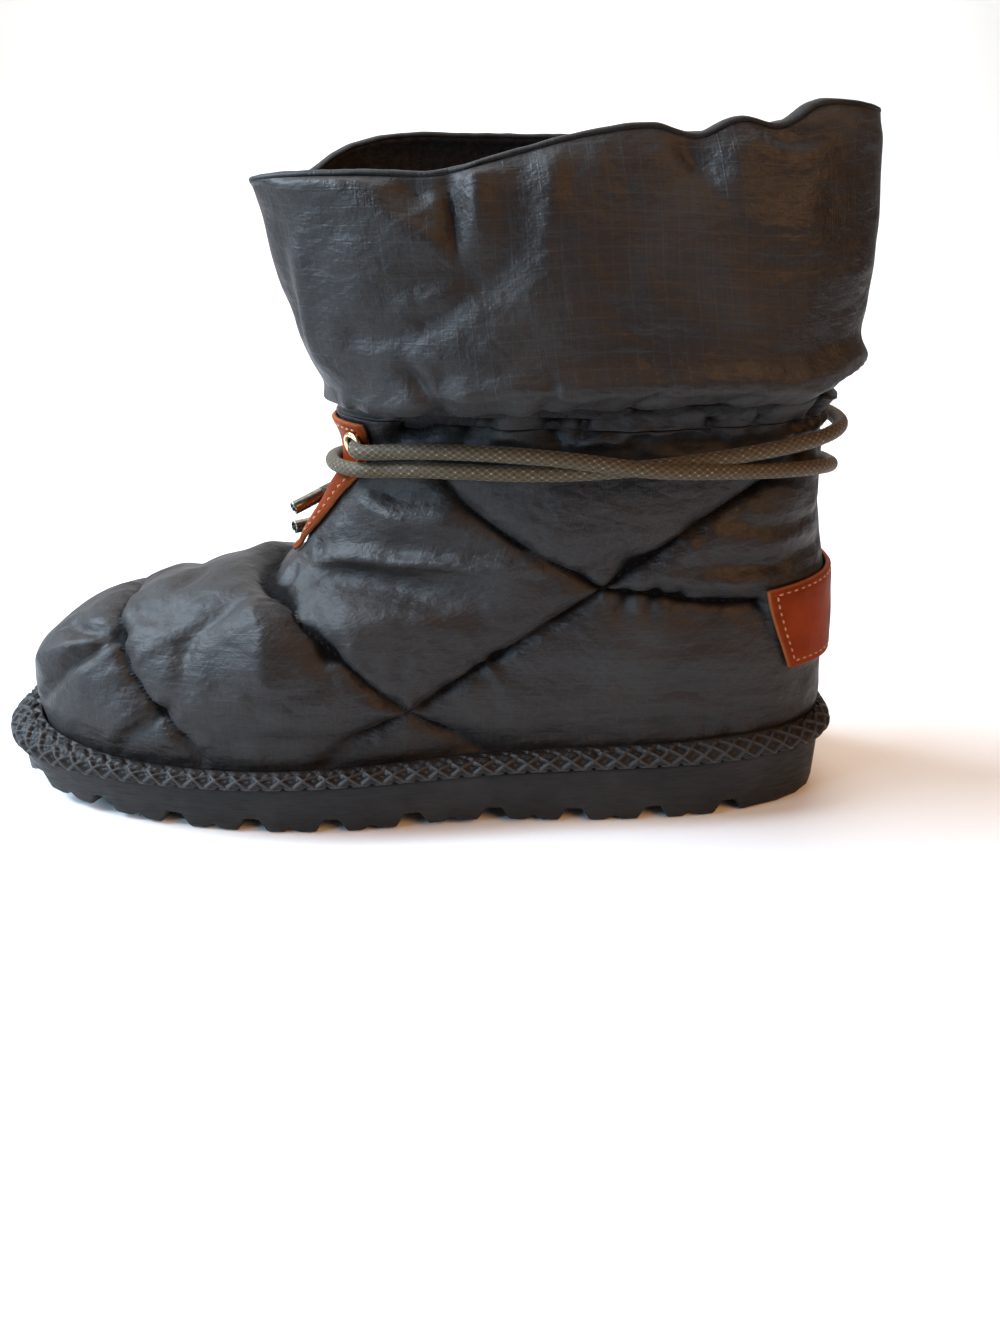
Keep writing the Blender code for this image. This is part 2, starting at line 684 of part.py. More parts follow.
def cord_curve(name, points):
    """A round cord along these points."""
    curve = bpy.data.curves.new(name, "CURVE")
    curve.dimensions = "3D"
    curve.bevel_depth = CORD_DIAMETER / 2
    curve.bevel_resolution = CORD_ROUNDNESS
    curve.use_fill_caps = True
    spline = curve.splines.new("POLY")
    spline.points.add(len(points) - 1)
    for target, point in zip(spline.points, points):
        target.co = (*map(float, point), 1.0)
    made = bpy.data.objects.new(name, curve)
    bpy.context.scene.collection.objects.link(made)
    curve.materials.append(material("cord"))
    return made


def resampled(points, spacing):
    """The same smooth line with points at an even spacing."""
    points = np.asarray(points, float)
    run = np.concatenate([[0], np.cumsum(np.linalg.norm(np.diff(points, axis=0), axis=1))])
    fine = np.linspace(0, run[-1], 40 * len(points))
    smooth = smooth_through(run, points.T, fine).T
    travelled = np.concatenate([[0], np.cumsum(np.linalg.norm(np.diff(smooth, axis=0), axis=1))])
    count = max(2, round(travelled[-1] / spacing)) + 1
    even = np.linspace(0, travelled[-1], count)
    return np.stack([np.interp(even, travelled, smooth[:, i]) for i in range(3)], -1)


# The pieces


def lug_bottom(share):
    """(height of the tread, height of the tread's edge) over the ground at a share along."""
    share = np.asarray(share, float)
    run = share * SOLE_LENGTH
    spring = TOE_SPRING * soft_step((share - TOE_SPRING_FROM) / (TOE_SPRING_TO - TOE_SPRING_FROM))
    spring = spring + ARCH_LIFT * soft_step(1 - np.abs(share - ARCH_AT) / ARCH_REACH)
    from_gap = np.abs((run - FIRST_LUG_GAP + LUG_PITCH / 2) % LUG_PITCH - LUG_PITCH / 2)
    depth = LUG_DEPTH * np.clip(1 - (from_gap - LUG_GAP / 2) / LUG_FLANK, 0, 1)
    inside = (run > FIRST_LUG_GAP - LUG_PITCH / 2) & (share < LUGS_TO)
    depth = np.where(inside, depth, 0)
    from_notch = np.abs((run - FIRST_LUG_GAP) % LUG_PITCH - LUG_PITCH / 2)
    notch = NOTCH_DEPTH * np.clip(1 - from_notch / (NOTCH_WIDTH / 2), 0, 1)
    notch = np.where(inside & (run > FIRST_LUG_GAP), notch, 0)
    return spring + depth, spring + np.maximum(depth, notch)


def sole_shares():
    """Stations along the sole: the corners of each lug gap and notch, with more near the ends."""
    places = list(SOLE_HEEL_PLACES)
    run = FIRST_LUG_GAP
    while run < LUGS_TO * SOLE_LENGTH:
        for step in (-LUG_GAP / 2 - LUG_FLANK, -LUG_GAP / 2, LUG_GAP / 2, LUG_GAP / 2 + LUG_FLANK):
            places.append((run + step) / SOLE_LENGTH)
        for step in (-NOTCH_WIDTH / 2, 0.0, NOTCH_WIDTH / 2):
            places.append((run + LUG_PITCH / 2 + step) / SOLE_LENGTH)
        run += LUG_PITCH
    places = [share for share in places if share < SOLE_TOE_PLACES[0] - LUG_FLANK / SOLE_LENGTH]
    return np.array(sorted(places) + list(SOLE_TOE_PLACES))


def outsole():
    shares = sole_shares()
    angle = np.arccos(1 - 2 * shares)
    ring_turns = np.concatenate([[0], angle, [math.pi], 2 * math.pi - angle[::-1]])
    share = (1 - np.cos(ring_turns)) / 2
    tread, edge = lug_bottom(share)
    deck = deck_height(share)
    loops = Loops()

    def ring(inset, height):
        return loops.loop(np.column_stack([sole_outline(ring_turns, -WELT_OVERHANG - inset), height]))

    bottom_inset = SOLE_DRAFT + EDGE_BEVEL
    inner = ring(bottom_inset + LUG_EDGE, tread)
    outer = ring(bottom_inset, edge)
    bevel = ring(SOLE_DRAFT, edge + EDGE_BEVEL)
    shoulder = ring(SOLE_EDGE_INSET, deck - 2 * SOLE_EDGE_INSET)
    top = ring(2 * SOLE_EDGE_INSET, deck)
    for a, b in ((inner, outer), (outer, bevel), (bevel, shoulder), (shoulder, top)):
        loops.band(a, b)
    loops.ladder(inner)
    loops.ladder(top)
    return add_solid("outsole", loops.points, loops.faces, "foam_rubber", sharp=35)


def welt():
    """The moulded band between sole and upper: widest below, rising to its inner edge."""
    around = turns(WELT_AROUND)
    share = (1 - np.cos(around)) / 2
    seat = deck_height(share) + PIECE_GAP
    rise = welt_rise(share)
    loops = Loops()
    gap = np.full(WELT_AROUND, WELT_GAP)
    first_section = leg_base(np.ones(WELT_AROUND), around)[:, 2]
    top_level = rise / (first_section - seat)
    inner_low = leg_point(np.zeros(WELT_AROUND), around, gap)
    inner_low[:, 2] = seat
    inner_middle = leg_point(top_level / 2, around, gap)
    inner_top = leg_point(top_level, around, gap)

    side = [
        np.column_stack([sole_outline(around, (out - 1) * WELT_OVERHANG), seat + up * rise])
        for out, up in WELT_PROFILE
    ]
    crown = inner_top + (side[-1] - inner_top) * CROWN_OUT
    crown[:, 2] = np.maximum(inner_top[:, 2], side[-1][:, 2]) + CROWN_RISE * rise
    rings = [loops.loop(points) for points in (inner_low, *side, crown, inner_top, inner_middle)]
    for a, b in zip(rings, rings[1:] + rings[:1]):
        loops.band(a, b)
    return add_solid("welt", loops.points, loops.faces, "welt_rubber", sharp=50)


def insole():
    """The footbed on the deck, as wide as the upper's inside allows."""
    count = UPPER_MESH[1]
    around = turns(count)
    low = lining_point(np.zeros(count), around, UPPER_WALL + 2 * OVERLAY_GAP)
    low[:, 2] = deck_height(share_at(low[:, 0])) + PIECE_GAP
    high = low + (0, 0, INSOLE_THICKNESS)
    loops = Loops()
    bottom, top = loops.loop(low), loops.loop(high)
    loops.band(bottom, top)
    loops.ladder(bottom)
    loops.ladder(top)
    return add_solid("insole", loops.points, loops.faces, "lining")


def heel_patch():
    low, high = PATCH_LEVELS

    def level_of(up, across):
        return low + (high - low) * up - PATCH_DROP * up * across ** 2

    def turn_of(up, across):
        return across * (PATCH_TURNS[0] + (PATCH_TURNS[1] - PATCH_TURNS[0]) * up)

    return patch("heel_patch", level_of, turn_of, PATCH_MESH)


def panel_turn(level, aside):
    """How far round from the front a place lies that is aside metres from the middle line."""
    table = smooth_through(np.arange(len(SECTIONS)), SECTIONS.T, level)
    toe = WIDTH_STATIONS[-1]
    width = table[7] / (2 * math.sqrt(toe * (1 - toe))) ** table[8]
    return np.arcsin(np.clip(np.abs(aside) / width, 0, 1) ** (1 / table[8])) * np.sign(aside)


def instep_panel():
    low, high = PANEL_LEVELS
    shape = np.array(PANEL_SHAPE)

    def level_of(up, across):
        return low + (high - low) * up

    def turn_of(up, across):
        half = smooth_through(shape[:, 0], shape[:, 1], up) * PANEL_WIDTH / 2
        return math.pi + panel_turn(level_of(up, across), across * half)

    return patch("instep_panel", level_of, turn_of, PANEL_MESH)


def panel_frame(side):
    """Centre, outward normal and two directions in the panel at an eyelet."""
    turn = math.pi + panel_turn(np.array(EYELET_LEVEL), np.array(side * EYELET_ASIDE * PANEL_WIDTH / 2))
    stand = OVERLAY_GAP + LEATHER + PIECE_GAP
    centre = leg_point(np.array(EYELET_LEVEL), turn, np.array(stand), padded=False)
    normal = leg_normal(np.array(EYELET_LEVEL), turn)
    across = np.cross([0, 0, 1], normal)
    across /= np.linalg.norm(across)
    return centre, normal, across, np.cross(normal, across)


def eyelet(name, side):
    """A rolled metal ring on the panel."""
    centre, normal, across, up = panel_frame(side)
    loops = Loops()
    angles = np.arange(EYELET_SIDES) * 2 * math.pi / EYELET_SIDES
    rings = []
    for wide, high in EYELET_PROFILE:
        radius = (EYELET_HOLE + (EYELET_OUTER - EYELET_HOLE) * wide) / 2
        height = EYELET_HEIGHT * high + 2 * PIECE_GAP
        circle = centre + normal * height + radius * (
            np.cos(angles)[:, None] * across + np.sin(angles)[:, None] * up
        )
        rings.append(loops.loop(circle))
    for a, b in zip(rings, rings[1:] + rings[:1]):
        loops.band(a, b)
    return add_solid(name, loops.points, loops.faces, "brass")


def knot_centre():
    lift = np.array(OVERLAY_GAP + KNOT_THICKNESS / 2)
    return leg_point(np.array(KNOT_LEVEL), np.array(KNOT_TURN), lift, padded=False)


def knot_axes():
    """The knot's full size along each of its three directions, as rows."""
    level, turn = np.array(KNOT_LEVEL), np.array(KNOT_TURN)
    normal = leg_normal(level, turn)
    along = leg_point(level, turn + NORMAL_TURN) - leg_point(level, turn - NORMAL_TURN)
    along -= normal * (along @ normal)
    along /= np.linalg.norm(along)
    sizes = np.array([KNOT_LENGTH - 2 * PIECE_GAP, KNOT_THICKNESS, KNOT_THICKNESS])
    return np.stack([along, np.cross(normal, along), normal]) * sizes[:, None]


def over_leather(level, turn):
    """1 where the instep panel lies under a place, falling to 0 beside it."""
    low, high = PANEL_LEVELS
    shape = np.array(PANEL_SHAPE)
    half = smooth_through(shape[:, 0], shape[:, 1], (level - low) / (high - low)) * PANEL_WIDTH / 2
    beside = np.abs((turn % (2 * math.pi)) - math.pi) - panel_turn(level, half)
    return soft_step(1 - (beside - PANEL_MARGIN / 2) / PANEL_MARGIN)


def strand_points(rows, side, crossing_lift):
    """A strand's middle line, from just past its eyelet to just short of the knot. side is -1 for the
    outer eyelet and 1 for the inner."""
    past_eyelet = EYELET_ASIDE * PANEL_WIDTH / 2 + EYELET_OUTER / 2 + CORD_DIAMETER / 2
    first = panel_turn(np.array(EYELET_LEVEL), np.array(past_eyelet)) / math.pi
    table = np.vstack([[first, EYELET_LEVEL], rows])
    part = np.linspace(first, table[-1, 0], STRAND_STEPS)
    level = smooth_through(table[:, 0], table[:, 1], part)
    turn = math.pi + side * part * math.pi
    out = CORD_DIAMETER / 2 + STRAND_GAP + (LEATHER + OVERLAY_GAP) * over_leather(level, turn)
    crossing = np.exp(-(((turn % (2 * math.pi) - CROSSING_TURN) / CROSSING_REACH) ** 2))
    points = leg_point(level, turn, out + crossing_lift * crossing, padded=False)
    near_knot = np.linalg.norm(points - knot_centre(), axis=1) < KNOT_LENGTH / 2 + PIECE_GAP
    return points[: np.argmax(near_knot)]


def tube_mesh(name, points):
    """A cord as a mesh object with shared corners."""
    tube = cord_curve(name, points)
    graph = bpy.context.evaluated_depsgraph_get()
    mesh = bpy.data.meshes.new_from_object(tube.evaluated_get(graph))
    bpy.data.objects.remove(tube)
    work = bmesh.new()
    work.from_mesh(mesh)
    bmesh.ops.remove_doubles(work, verts=work.verts, dist=PIECE_GAP / 30)
    bmesh.ops.recalc_face_normals(work, faces=work.faces)
    work.to_mesh(mesh)
    work.free()
    made = bpy.data.objects.new(name, mesh)
    bpy.context.scene.collection.objects.link(made)
    return made


def ankle_cord():
    """Two strands round the ankle, joined where they cross on the outer side."""
    spacing = STRAND_SPACING * CORD_DIAMETER
    cord = tube_mesh("ankle_cord", resampled(strand_points(STRAND_FROM_OUTER, -1, 0.0), spacing))
    lift = CROSSING_LIFT * CORD_DIAMETER
    other = tube_mesh("strand", resampled(strand_points(STRAND_FROM_INNER, 1, lift), spacing))
    join = cord.modifiers.new("join", "BOOLEAN")
    join.operation = "UNION"
    join.object = other
    graph = bpy.context.evaluated_depsgraph_get()
    cord.data = bpy.data.meshes.new_from_object(cord.evaluated_get(graph))
    cord.modifiers.clear()
    bpy.data.objects.remove(other)
    return cord


def cord_knot():
    """The tied knot, a rounded lump along the cord."""
    work = bmesh.new()
    bmesh.ops.create_uvsphere(work, u_segments=KNOT_MESH[0], v_segments=KNOT_MESH[1], radius=0.5)
    mesh = bpy.data.meshes.new("cord_knot")
    work.to_mesh(mesh)
    work.free()
    points = np.array([v.co[:] for v in mesh.vertices]) @ knot_axes() + knot_centre()
    return add_solid("cord_knot", points, [tuple(p.vertices) for p in mesh.polygons], "cord")


def end_route(rows):
    """A free end's middle line from the knot to the far end of its tip."""
    table = np.array(rows)
    level, turn, stand = table.T
    out = CORD_DIAMETER * (0.5 + stand) + OVERLAY_GAP + LEATHER + OVERLAY_GAP
    points = leg_point(level, turn, out, padded=False)
    start = knot_centre()
    away = points[0] - start
    away /= np.linalg.norm(away)
    axes = knot_axes()
    surface = 0.5 / np.linalg.norm(axes @ away / np.sum(axes * axes, axis=1))
    first = start + away * (surface + PIECE_GAP)
    return resampled(np.vstack([first, points]), CORD_DIAMETER / 2)


def cord_end(side):
    """A free end of the cord and the turned metal tip on it."""
    route = end_route(END_ROUTES[side])
    left = np.linalg.norm(route - route[-1], axis=1)
    soft = resampled(route[left > TIP_LENGTH + PIECE_GAP], END_SPACING * CORD_DIAMETER)
    cord = cord_curve(f"cord_end_{side}", soft)
    axis = soft[-1] - soft[-2]
    axis /= np.linalg.norm(axis)
    start = soft[-1] + axis * PIECE_GAP
    across = np.cross(axis, [0, 0, 1])
    across /= np.linalg.norm(across)
    up = np.cross(across, axis)
    radius = TIP_DIAMETER / 2
    rim = TIP_RIM * TIP_DIAMETER
    loops = Loops()
    angles = np.arange(TIP_SIDES) * 2 * math.pi / TIP_SIDES
    rings = []
    for far, r in ((0, radius - rim), (rim, radius), (TIP_LENGTH - rim, radius), (TIP_LENGTH, radius - rim)):
        circle = start + axis * far + r * (np.cos(angles)[:, None] * across + np.sin(angles)[:, None] * up)
        rings.append(loops.loop(circle))
    for a, b in zip(rings[:-1], rings[1:]):
        loops.band(a, b)
    loops.faces.append(tuple(rings[0]))
    loops.faces.append(tuple(rings[-1]))
    return cord, add_solid(f"cord_tip_{side}", loops.points, loops.faces, "gunmetal", sharp=30)


def collar_binding():
    """The bound edge that caps the shaft's wall."""
    around = turns(SHAFT_MESH[0])
    top = np.full(SHAFT_MESH[0], TOP_LEVEL)
    outer = leg_point(top, around)
    inner = lining_point(top, around, SHAFT_WALL)
    loops = Loops()
    rings = []
    for across, up in BINDING_PROFILE:
        ring = (outer + inner) / 2 + (outer - inner) / 2 * across
        ring[:, 2] = outer[:, 2] + OVERLAY_GAP + up * BINDING_HEIGHT
        rings.append(loops.loop(ring))
    for a, b in zip(rings, rings[1:] + rings[:1]):
        loops.band(a, b)
    return add_solid("collar_binding", loops.points, loops.faces, "binding")


def box_of(objects):
    """Lowest and highest corner of these mesh objects."""
    corners = np.concatenate([[v.co[:] for v in o.data.vertices] for o in objects])
    return corners.min(0), corners.max(0)


def main():
    for old in list(bpy.data.objects):
        bpy.data.objects.remove(old)
    boot = bpy.data.objects.new("boot", None)
    bpy.context.scene.collection.objects.link(boot)
    pieces = [
        outsole(),
        welt(),
        insole(),
        open_tube("upper", (0, SEAM_LEVEL), UPPER_MESH, UPPER_WALL, "nylon"),
        open_tube("shaft", (SEAM_LEVEL, TOP_LEVEL), SHAFT_MESH, SHAFT_WALL, "nylon", PIECE_GAP),
        heel_patch(),
        instep_panel(),
        eyelet("eyelet_outer", -1),
        eyelet("eyelet_inner", 1),
        collar_binding(),
    ]
    pieces.append(ankle_cord())
    low, high = box_of(pieces)
    pieces += [cord_knot(), *cord_end("outer"), *cord_end("inner")]
    for piece in pieces:
        piece.parent = boot
    boot.location = (-(low[0] + high[0]) / 2, -(low[1] + high[1]) / 2, -low[2])


main()
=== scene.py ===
"""Quilted snow boot for the left foot: the looks of its cloth, leather, cord and rubber.

The toe points along -X, the outer side faces -Y and +Z is up; lengths are metres. A place on the
boot's leg is (level, turn): level runs up the stack of sections, from 0 at the sole over the ankle
seam to the collar, and turn runs round a section from the back, 0, by the outer side to the front,
pi, and by the inner side to the back again.
"""

import math

import bmesh
import bpy
import numpy as np
from bpy.props import FloatProperty, FloatVectorProperty, PointerProperty
from mathutils import Matrix, Vector, noise


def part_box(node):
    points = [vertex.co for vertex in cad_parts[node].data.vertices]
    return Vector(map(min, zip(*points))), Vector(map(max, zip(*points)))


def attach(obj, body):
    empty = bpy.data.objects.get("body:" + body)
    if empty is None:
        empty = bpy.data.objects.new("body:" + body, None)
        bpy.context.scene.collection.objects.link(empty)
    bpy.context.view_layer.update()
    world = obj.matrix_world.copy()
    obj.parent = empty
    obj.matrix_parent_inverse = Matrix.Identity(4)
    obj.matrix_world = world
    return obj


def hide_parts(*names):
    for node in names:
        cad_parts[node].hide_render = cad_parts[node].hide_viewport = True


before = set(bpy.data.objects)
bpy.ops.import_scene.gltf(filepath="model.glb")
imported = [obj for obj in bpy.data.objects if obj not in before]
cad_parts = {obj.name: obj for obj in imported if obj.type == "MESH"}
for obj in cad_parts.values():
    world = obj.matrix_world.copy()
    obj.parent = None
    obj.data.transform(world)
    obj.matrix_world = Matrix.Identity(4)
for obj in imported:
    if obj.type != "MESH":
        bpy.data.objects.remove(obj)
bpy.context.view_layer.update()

bl_info = {
    "name": "Quilted Snow Boot",
    "version": (1, 0, 0),
    "blender": (4, 5, 0),
    "location": "3D View > Sidebar > Boot",
    "description": "Builds a padded nylon snow boot with a cord tie, leather patches and a lugged sole",
    "category": "Add Mesh",
}

# Half widths are given at these shares of a section's length from the back
WIDTH_STATIONS = np.array([0.15, 0.42, 0.70, 0.88])
ORIGIN_SHARE = 0.40
NORMAL_REACH = 0.40
NORMAL_TURN = 0.05
FLAT_REACH = 0.8
SWING_FROM = 0.45
GAP = 0.0003
OVERLAY_GAP = 0.0005
BODY = "root"

SOLE_STATIONS = (
    # along, outer, inner, follows
    (0.13, 0.98, 0.96, "heel"),
    (0.40, 1.02, 0.92, "waist"),
    (0.68, 1.01, 0.97, "ball"),
    (0.88, 0.84, 0.86, "ball"),
)
SOLE_ROUNDNESS = 0.66
HEEL_DECK = 0.0210
BALL_DECK = 0.0166

DECK = (
    # along, share of the way from the ball's deck to the heel's, rise of the welt's inner edge
    (0.00, 1.00, 1.02),
    (0.15, 1.00, 1.00),
    (0.40, 0.72, 0.86),
    (0.58, 0.28, 0.78),
    (0.72, 0.00, 0.76),
    (0.86, -0.20, 0.92),
    (0.94, -0.22, 1.20),
    (1.00, -0.22, 1.50),
)

FOOT_SECTIONS = (
    # front, front_z, back, back_z, heel, waist, ball, toe, round_front, round_back, follow
    (0.955, 0.160, 0.024, 0.190, 0.82, 0.80, 0.84, 0.71, 0.70, 0.68, 1.00),
    (0.963, 0.262, 0.019, 0.262, 0.88, 0.85, 0.89, 0.73, 0.70, 0.68, 0.80),
    (0.963, 0.340, 0.018, 0.340, 0.91, 0.88, 0.90, 0.72, 0.70, 0.68, 0.50),
    (0.954, 0.415, 0.018, 0.402, 0.91, 0.89, 0.89, 0.70, 0.70, 0.70, 0.30),
    (0.932, 0.475, 0.019, 0.462, 0.91, 0.89, 0.87, 0.67, 0.72, 0.72, 0.15),
    (0.898, 0.530, 0.020, 0.516, 0.90, 0.89, 0.84, 0.64, 0.74, 0.74, 0.05),
    (0.855, 0.580, 0.022, 0.565, 0.89, 0.88, 0.81, 0.60, 0.76, 0.74, 0.00),
    (0.803, 0.621, 0.024, 0.610, 0.88, 0.87, 0.78, 0.55, 0.78, 0.76, 0.00),
    (0.746, 0.651, 0.026, 0.650, 0.87, 0.86, 0.74, 0.50, 0.78, 0.78, 0.00),
    (0.690, 0.678, 0.028, 0.690, 0.86, 0.86, 0.70, 0.47, 0.82, 0.80, 0.00),
    (0.636, 0.714, 0.031, 0.730, 0.85, 0.86, 0.67, 0.46, 0.86, 0.82, 0.00),
    (0.619, 0.776, 0.035, 0.782, 0.83, 0.87, 0.66, 0.45, 0.88, 0.82, 0.00),
    (0.600, 0.846, 0.039, 0.842, 0.80, 0.88, 0.65, 0.45, 0.90, 0.82, 0.00),
    (0.584, 0.912, 0.043, 0.906, 0.76, 0.87, 0.64, 0.45, 0.90, 0.82, 0.00),
    (0.569, 0.970, 0.047, 0.966, 0.73, 0.86, 0.63, 0.45, 0.90, 0.82, 0.00),
    (0.567, 1.020, 0.049, 1.020, 0.73, 0.85, 0.63, 0.45, 0.90, 0.82, 0.00),
    (0.570, 1.075, 0.046, 1.080, 0.75, 0.87, 0.65, 0.47, 0.88, 0.82, 0.00),
    (0.580, 1.130, 0.041, 1.135, 0.81, 0.93, 0.70, 0.51, 0.84, 0.80, 0.00),
)
SEAM_LEVEL = len(FOOT_SECTIONS) - 1

SHAFT_SECTIONS = (
    # front, front_z, back, back_z, heel, waist, ball, toe, round_front, round_back, skew
    (0.588, 0.045, 0.035, 0.050, 0.84, 0.97, 0.92, 0.72, 0.76, 0.76, 0.00),
    (0.588, 0.130, 0.034, 0.130, 0.88, 1.01, 0.97, 0.76, 0.72, 0.74, 0.00),
    (0.603, 0.250, 0.033, 0.250, 0.90, 1.03, 1.00, 0.78, 0.68, 0.74, 0.03),
    (0.615, 0.400, 0.031, 0.405, 0.89, 1.02, 0.99, 0.78, 0.64, 0.72, 0.08),
    (0.627, 0.543, 0.031, 0.560, 0.86, 0.99, 0.96, 0.77, 0.60, 0.70, 0.16),
    (0.631, 0.677, 0.033, 0.730, 0.81, 0.93, 0.91, 0.75, 0.54, 0.68, 0.25),
    (0.638, 0.780, 0.036, 0.885, 0.73, 0.85, 0.85, 0.72, 0.46, 0.66, 0.33),
    (0.642, 0.804, 0.039, 0.985, 0.65, 0.76, 0.77, 0.67, 0.40, 0.64, 0.36),
)
TOP_LEVEL = SEAM_LEVEL + len(SHAFT_SECTIONS)

COLLAR_EDGE = (
    # along, outer, inner: rise over a straight line from back to front, shares of the shaft's height
    (0.00, 0.056, 0.056),
    (0.07, 0.082, 0.070),
    (0.13, 0.086, 0.060),
    (0.18, 0.032, 0.050),
    (0.25, 0.060, 0.060),
    (0.31, 0.022, 0.066),
    (0.37, 0.062, 0.072),
    (0.46, 0.060, 0.090),
    (0.60, 0.013, 0.120),
    (0.69, -0.018, 0.138),
    (0.80, 0.004, 0.160),
    (0.88, 0.018, 0.155),
    (0.96, 0.026, 0.100),
    (1.00, 0.024, 0.024),
)
COLLAR_REACH = 3.2

# Quilting seams on the outer side, as places (level, turn). Each is mirrored to the inner side.
SEAMS = {
    "toe": ((6.2, 3.14), (5.9, 2.91), (5.3, 2.65), (4.3, 2.47), (3.3, 2.35), (2.3, 2.26), (0.6, 2.11)),
    "vamp": (
        (9.25, 3.14), (9.1, 2.86), (8.5, 2.45), (7.5, 2.21), (6.2, 1.98), (4.8, 1.81),
        (3.5, 1.70), (2.1, 1.59), (1.3, 1.52), (0.5, 1.40),
    ),
    "rising": (
        (0.5, 1.81), (1.7, 1.63), (2.9, 1.52), (5.2, 1.42), (7.8, 1.39), (9.5, 1.40), (10.4, 1.37),
        (11.3, 1.27), (12.5, 1.13), (13.7, 0.90), (14.4, 0.72), (15.4, 0.45),
    ),
    "quarter": (
        (15.2, 2.36), (14.1, 2.19), (13.3, 2.08), (11.9, 1.82), (10.6, 1.57), (9.5, 1.40),
        (8.9, 1.15), (8.4, 1.02), (8.0, 0.72), (7.7, 0.45), (7.5, 0.0),
    ),
}
# A seam is a soft dip this wide with a sharp one in its middle, and puckers run across it.
SEAM_REACH = 0.0070
SEAM_SHARP = 0.0015
SEAM_POINTS = 40
SEAM_STITCH = 0.0032
SEAM_THREAD = 0.00055
SEAM_BARE = 0.0012
PUCKER_REACH = 0.0055
PUCKER_SIZE = 0.0088
FINE_PUCKER_SIZE = 0.0036
PUCKER_CHANGE = 0.030
# a pucker's height at its crest, how fast it falls, and how long it is drawn out across the seam
PUCKER_CREST, PUCKER_FALL, PUCKER_LONG = 0.5, 2.2, 0.4
# the share of the fine puckers, and what is left of all of them where they are weakest
FINE_PUCKERS, PUCKER_LEAST = 0.30, 0.35
# The cloth sinks in at the neck, under the shaft's lower edge.
NECK_LEVELS = (15.6, 18.3)
NECK_DEPTH = 0.0026
NECK_EDGE = 0.6
CRUMPLE_SIZE = 0.023
FINE_CRUMPLE_SIZE = 0.010
FINE_CRUMPLES = 0.45
# Lowest and highest place of the folds over the smooth surface, and the depths between which painted shade
# darkens the cloth.
FOLD_LIMITS = (-0.0056, 0.0034)
PAINTED_SHADE_FROM = 0.0034
PAINTED_SHADE_TO = 0.0056
FOLD_STEEPNESS = 1.7
FOLD_END = 0.12
FOLD_END_SHAPE = 0.6
FOLD_POINTS = 14
PRESSED_IN = 0.0003
CORD_PRESS_REACH = 0.0014
# levels past the bottom and the top of the leather where the cloth is free again, and the change to it
PANEL_FREE = (0.5, 0.6, 0.5)
PATCH_FREE = (0.5, 0.3, 0.4)
# the same round the heel, as a turn
PATCH_FREE_TURN, PATCH_EDGE_TURN = 0.025, 0.03
LINING_GRAIN = 0.018
LINING_BUMP = 0.0009
LINING_SET_IN = 0.0024
SIDE_CLOSENESS = 0.15
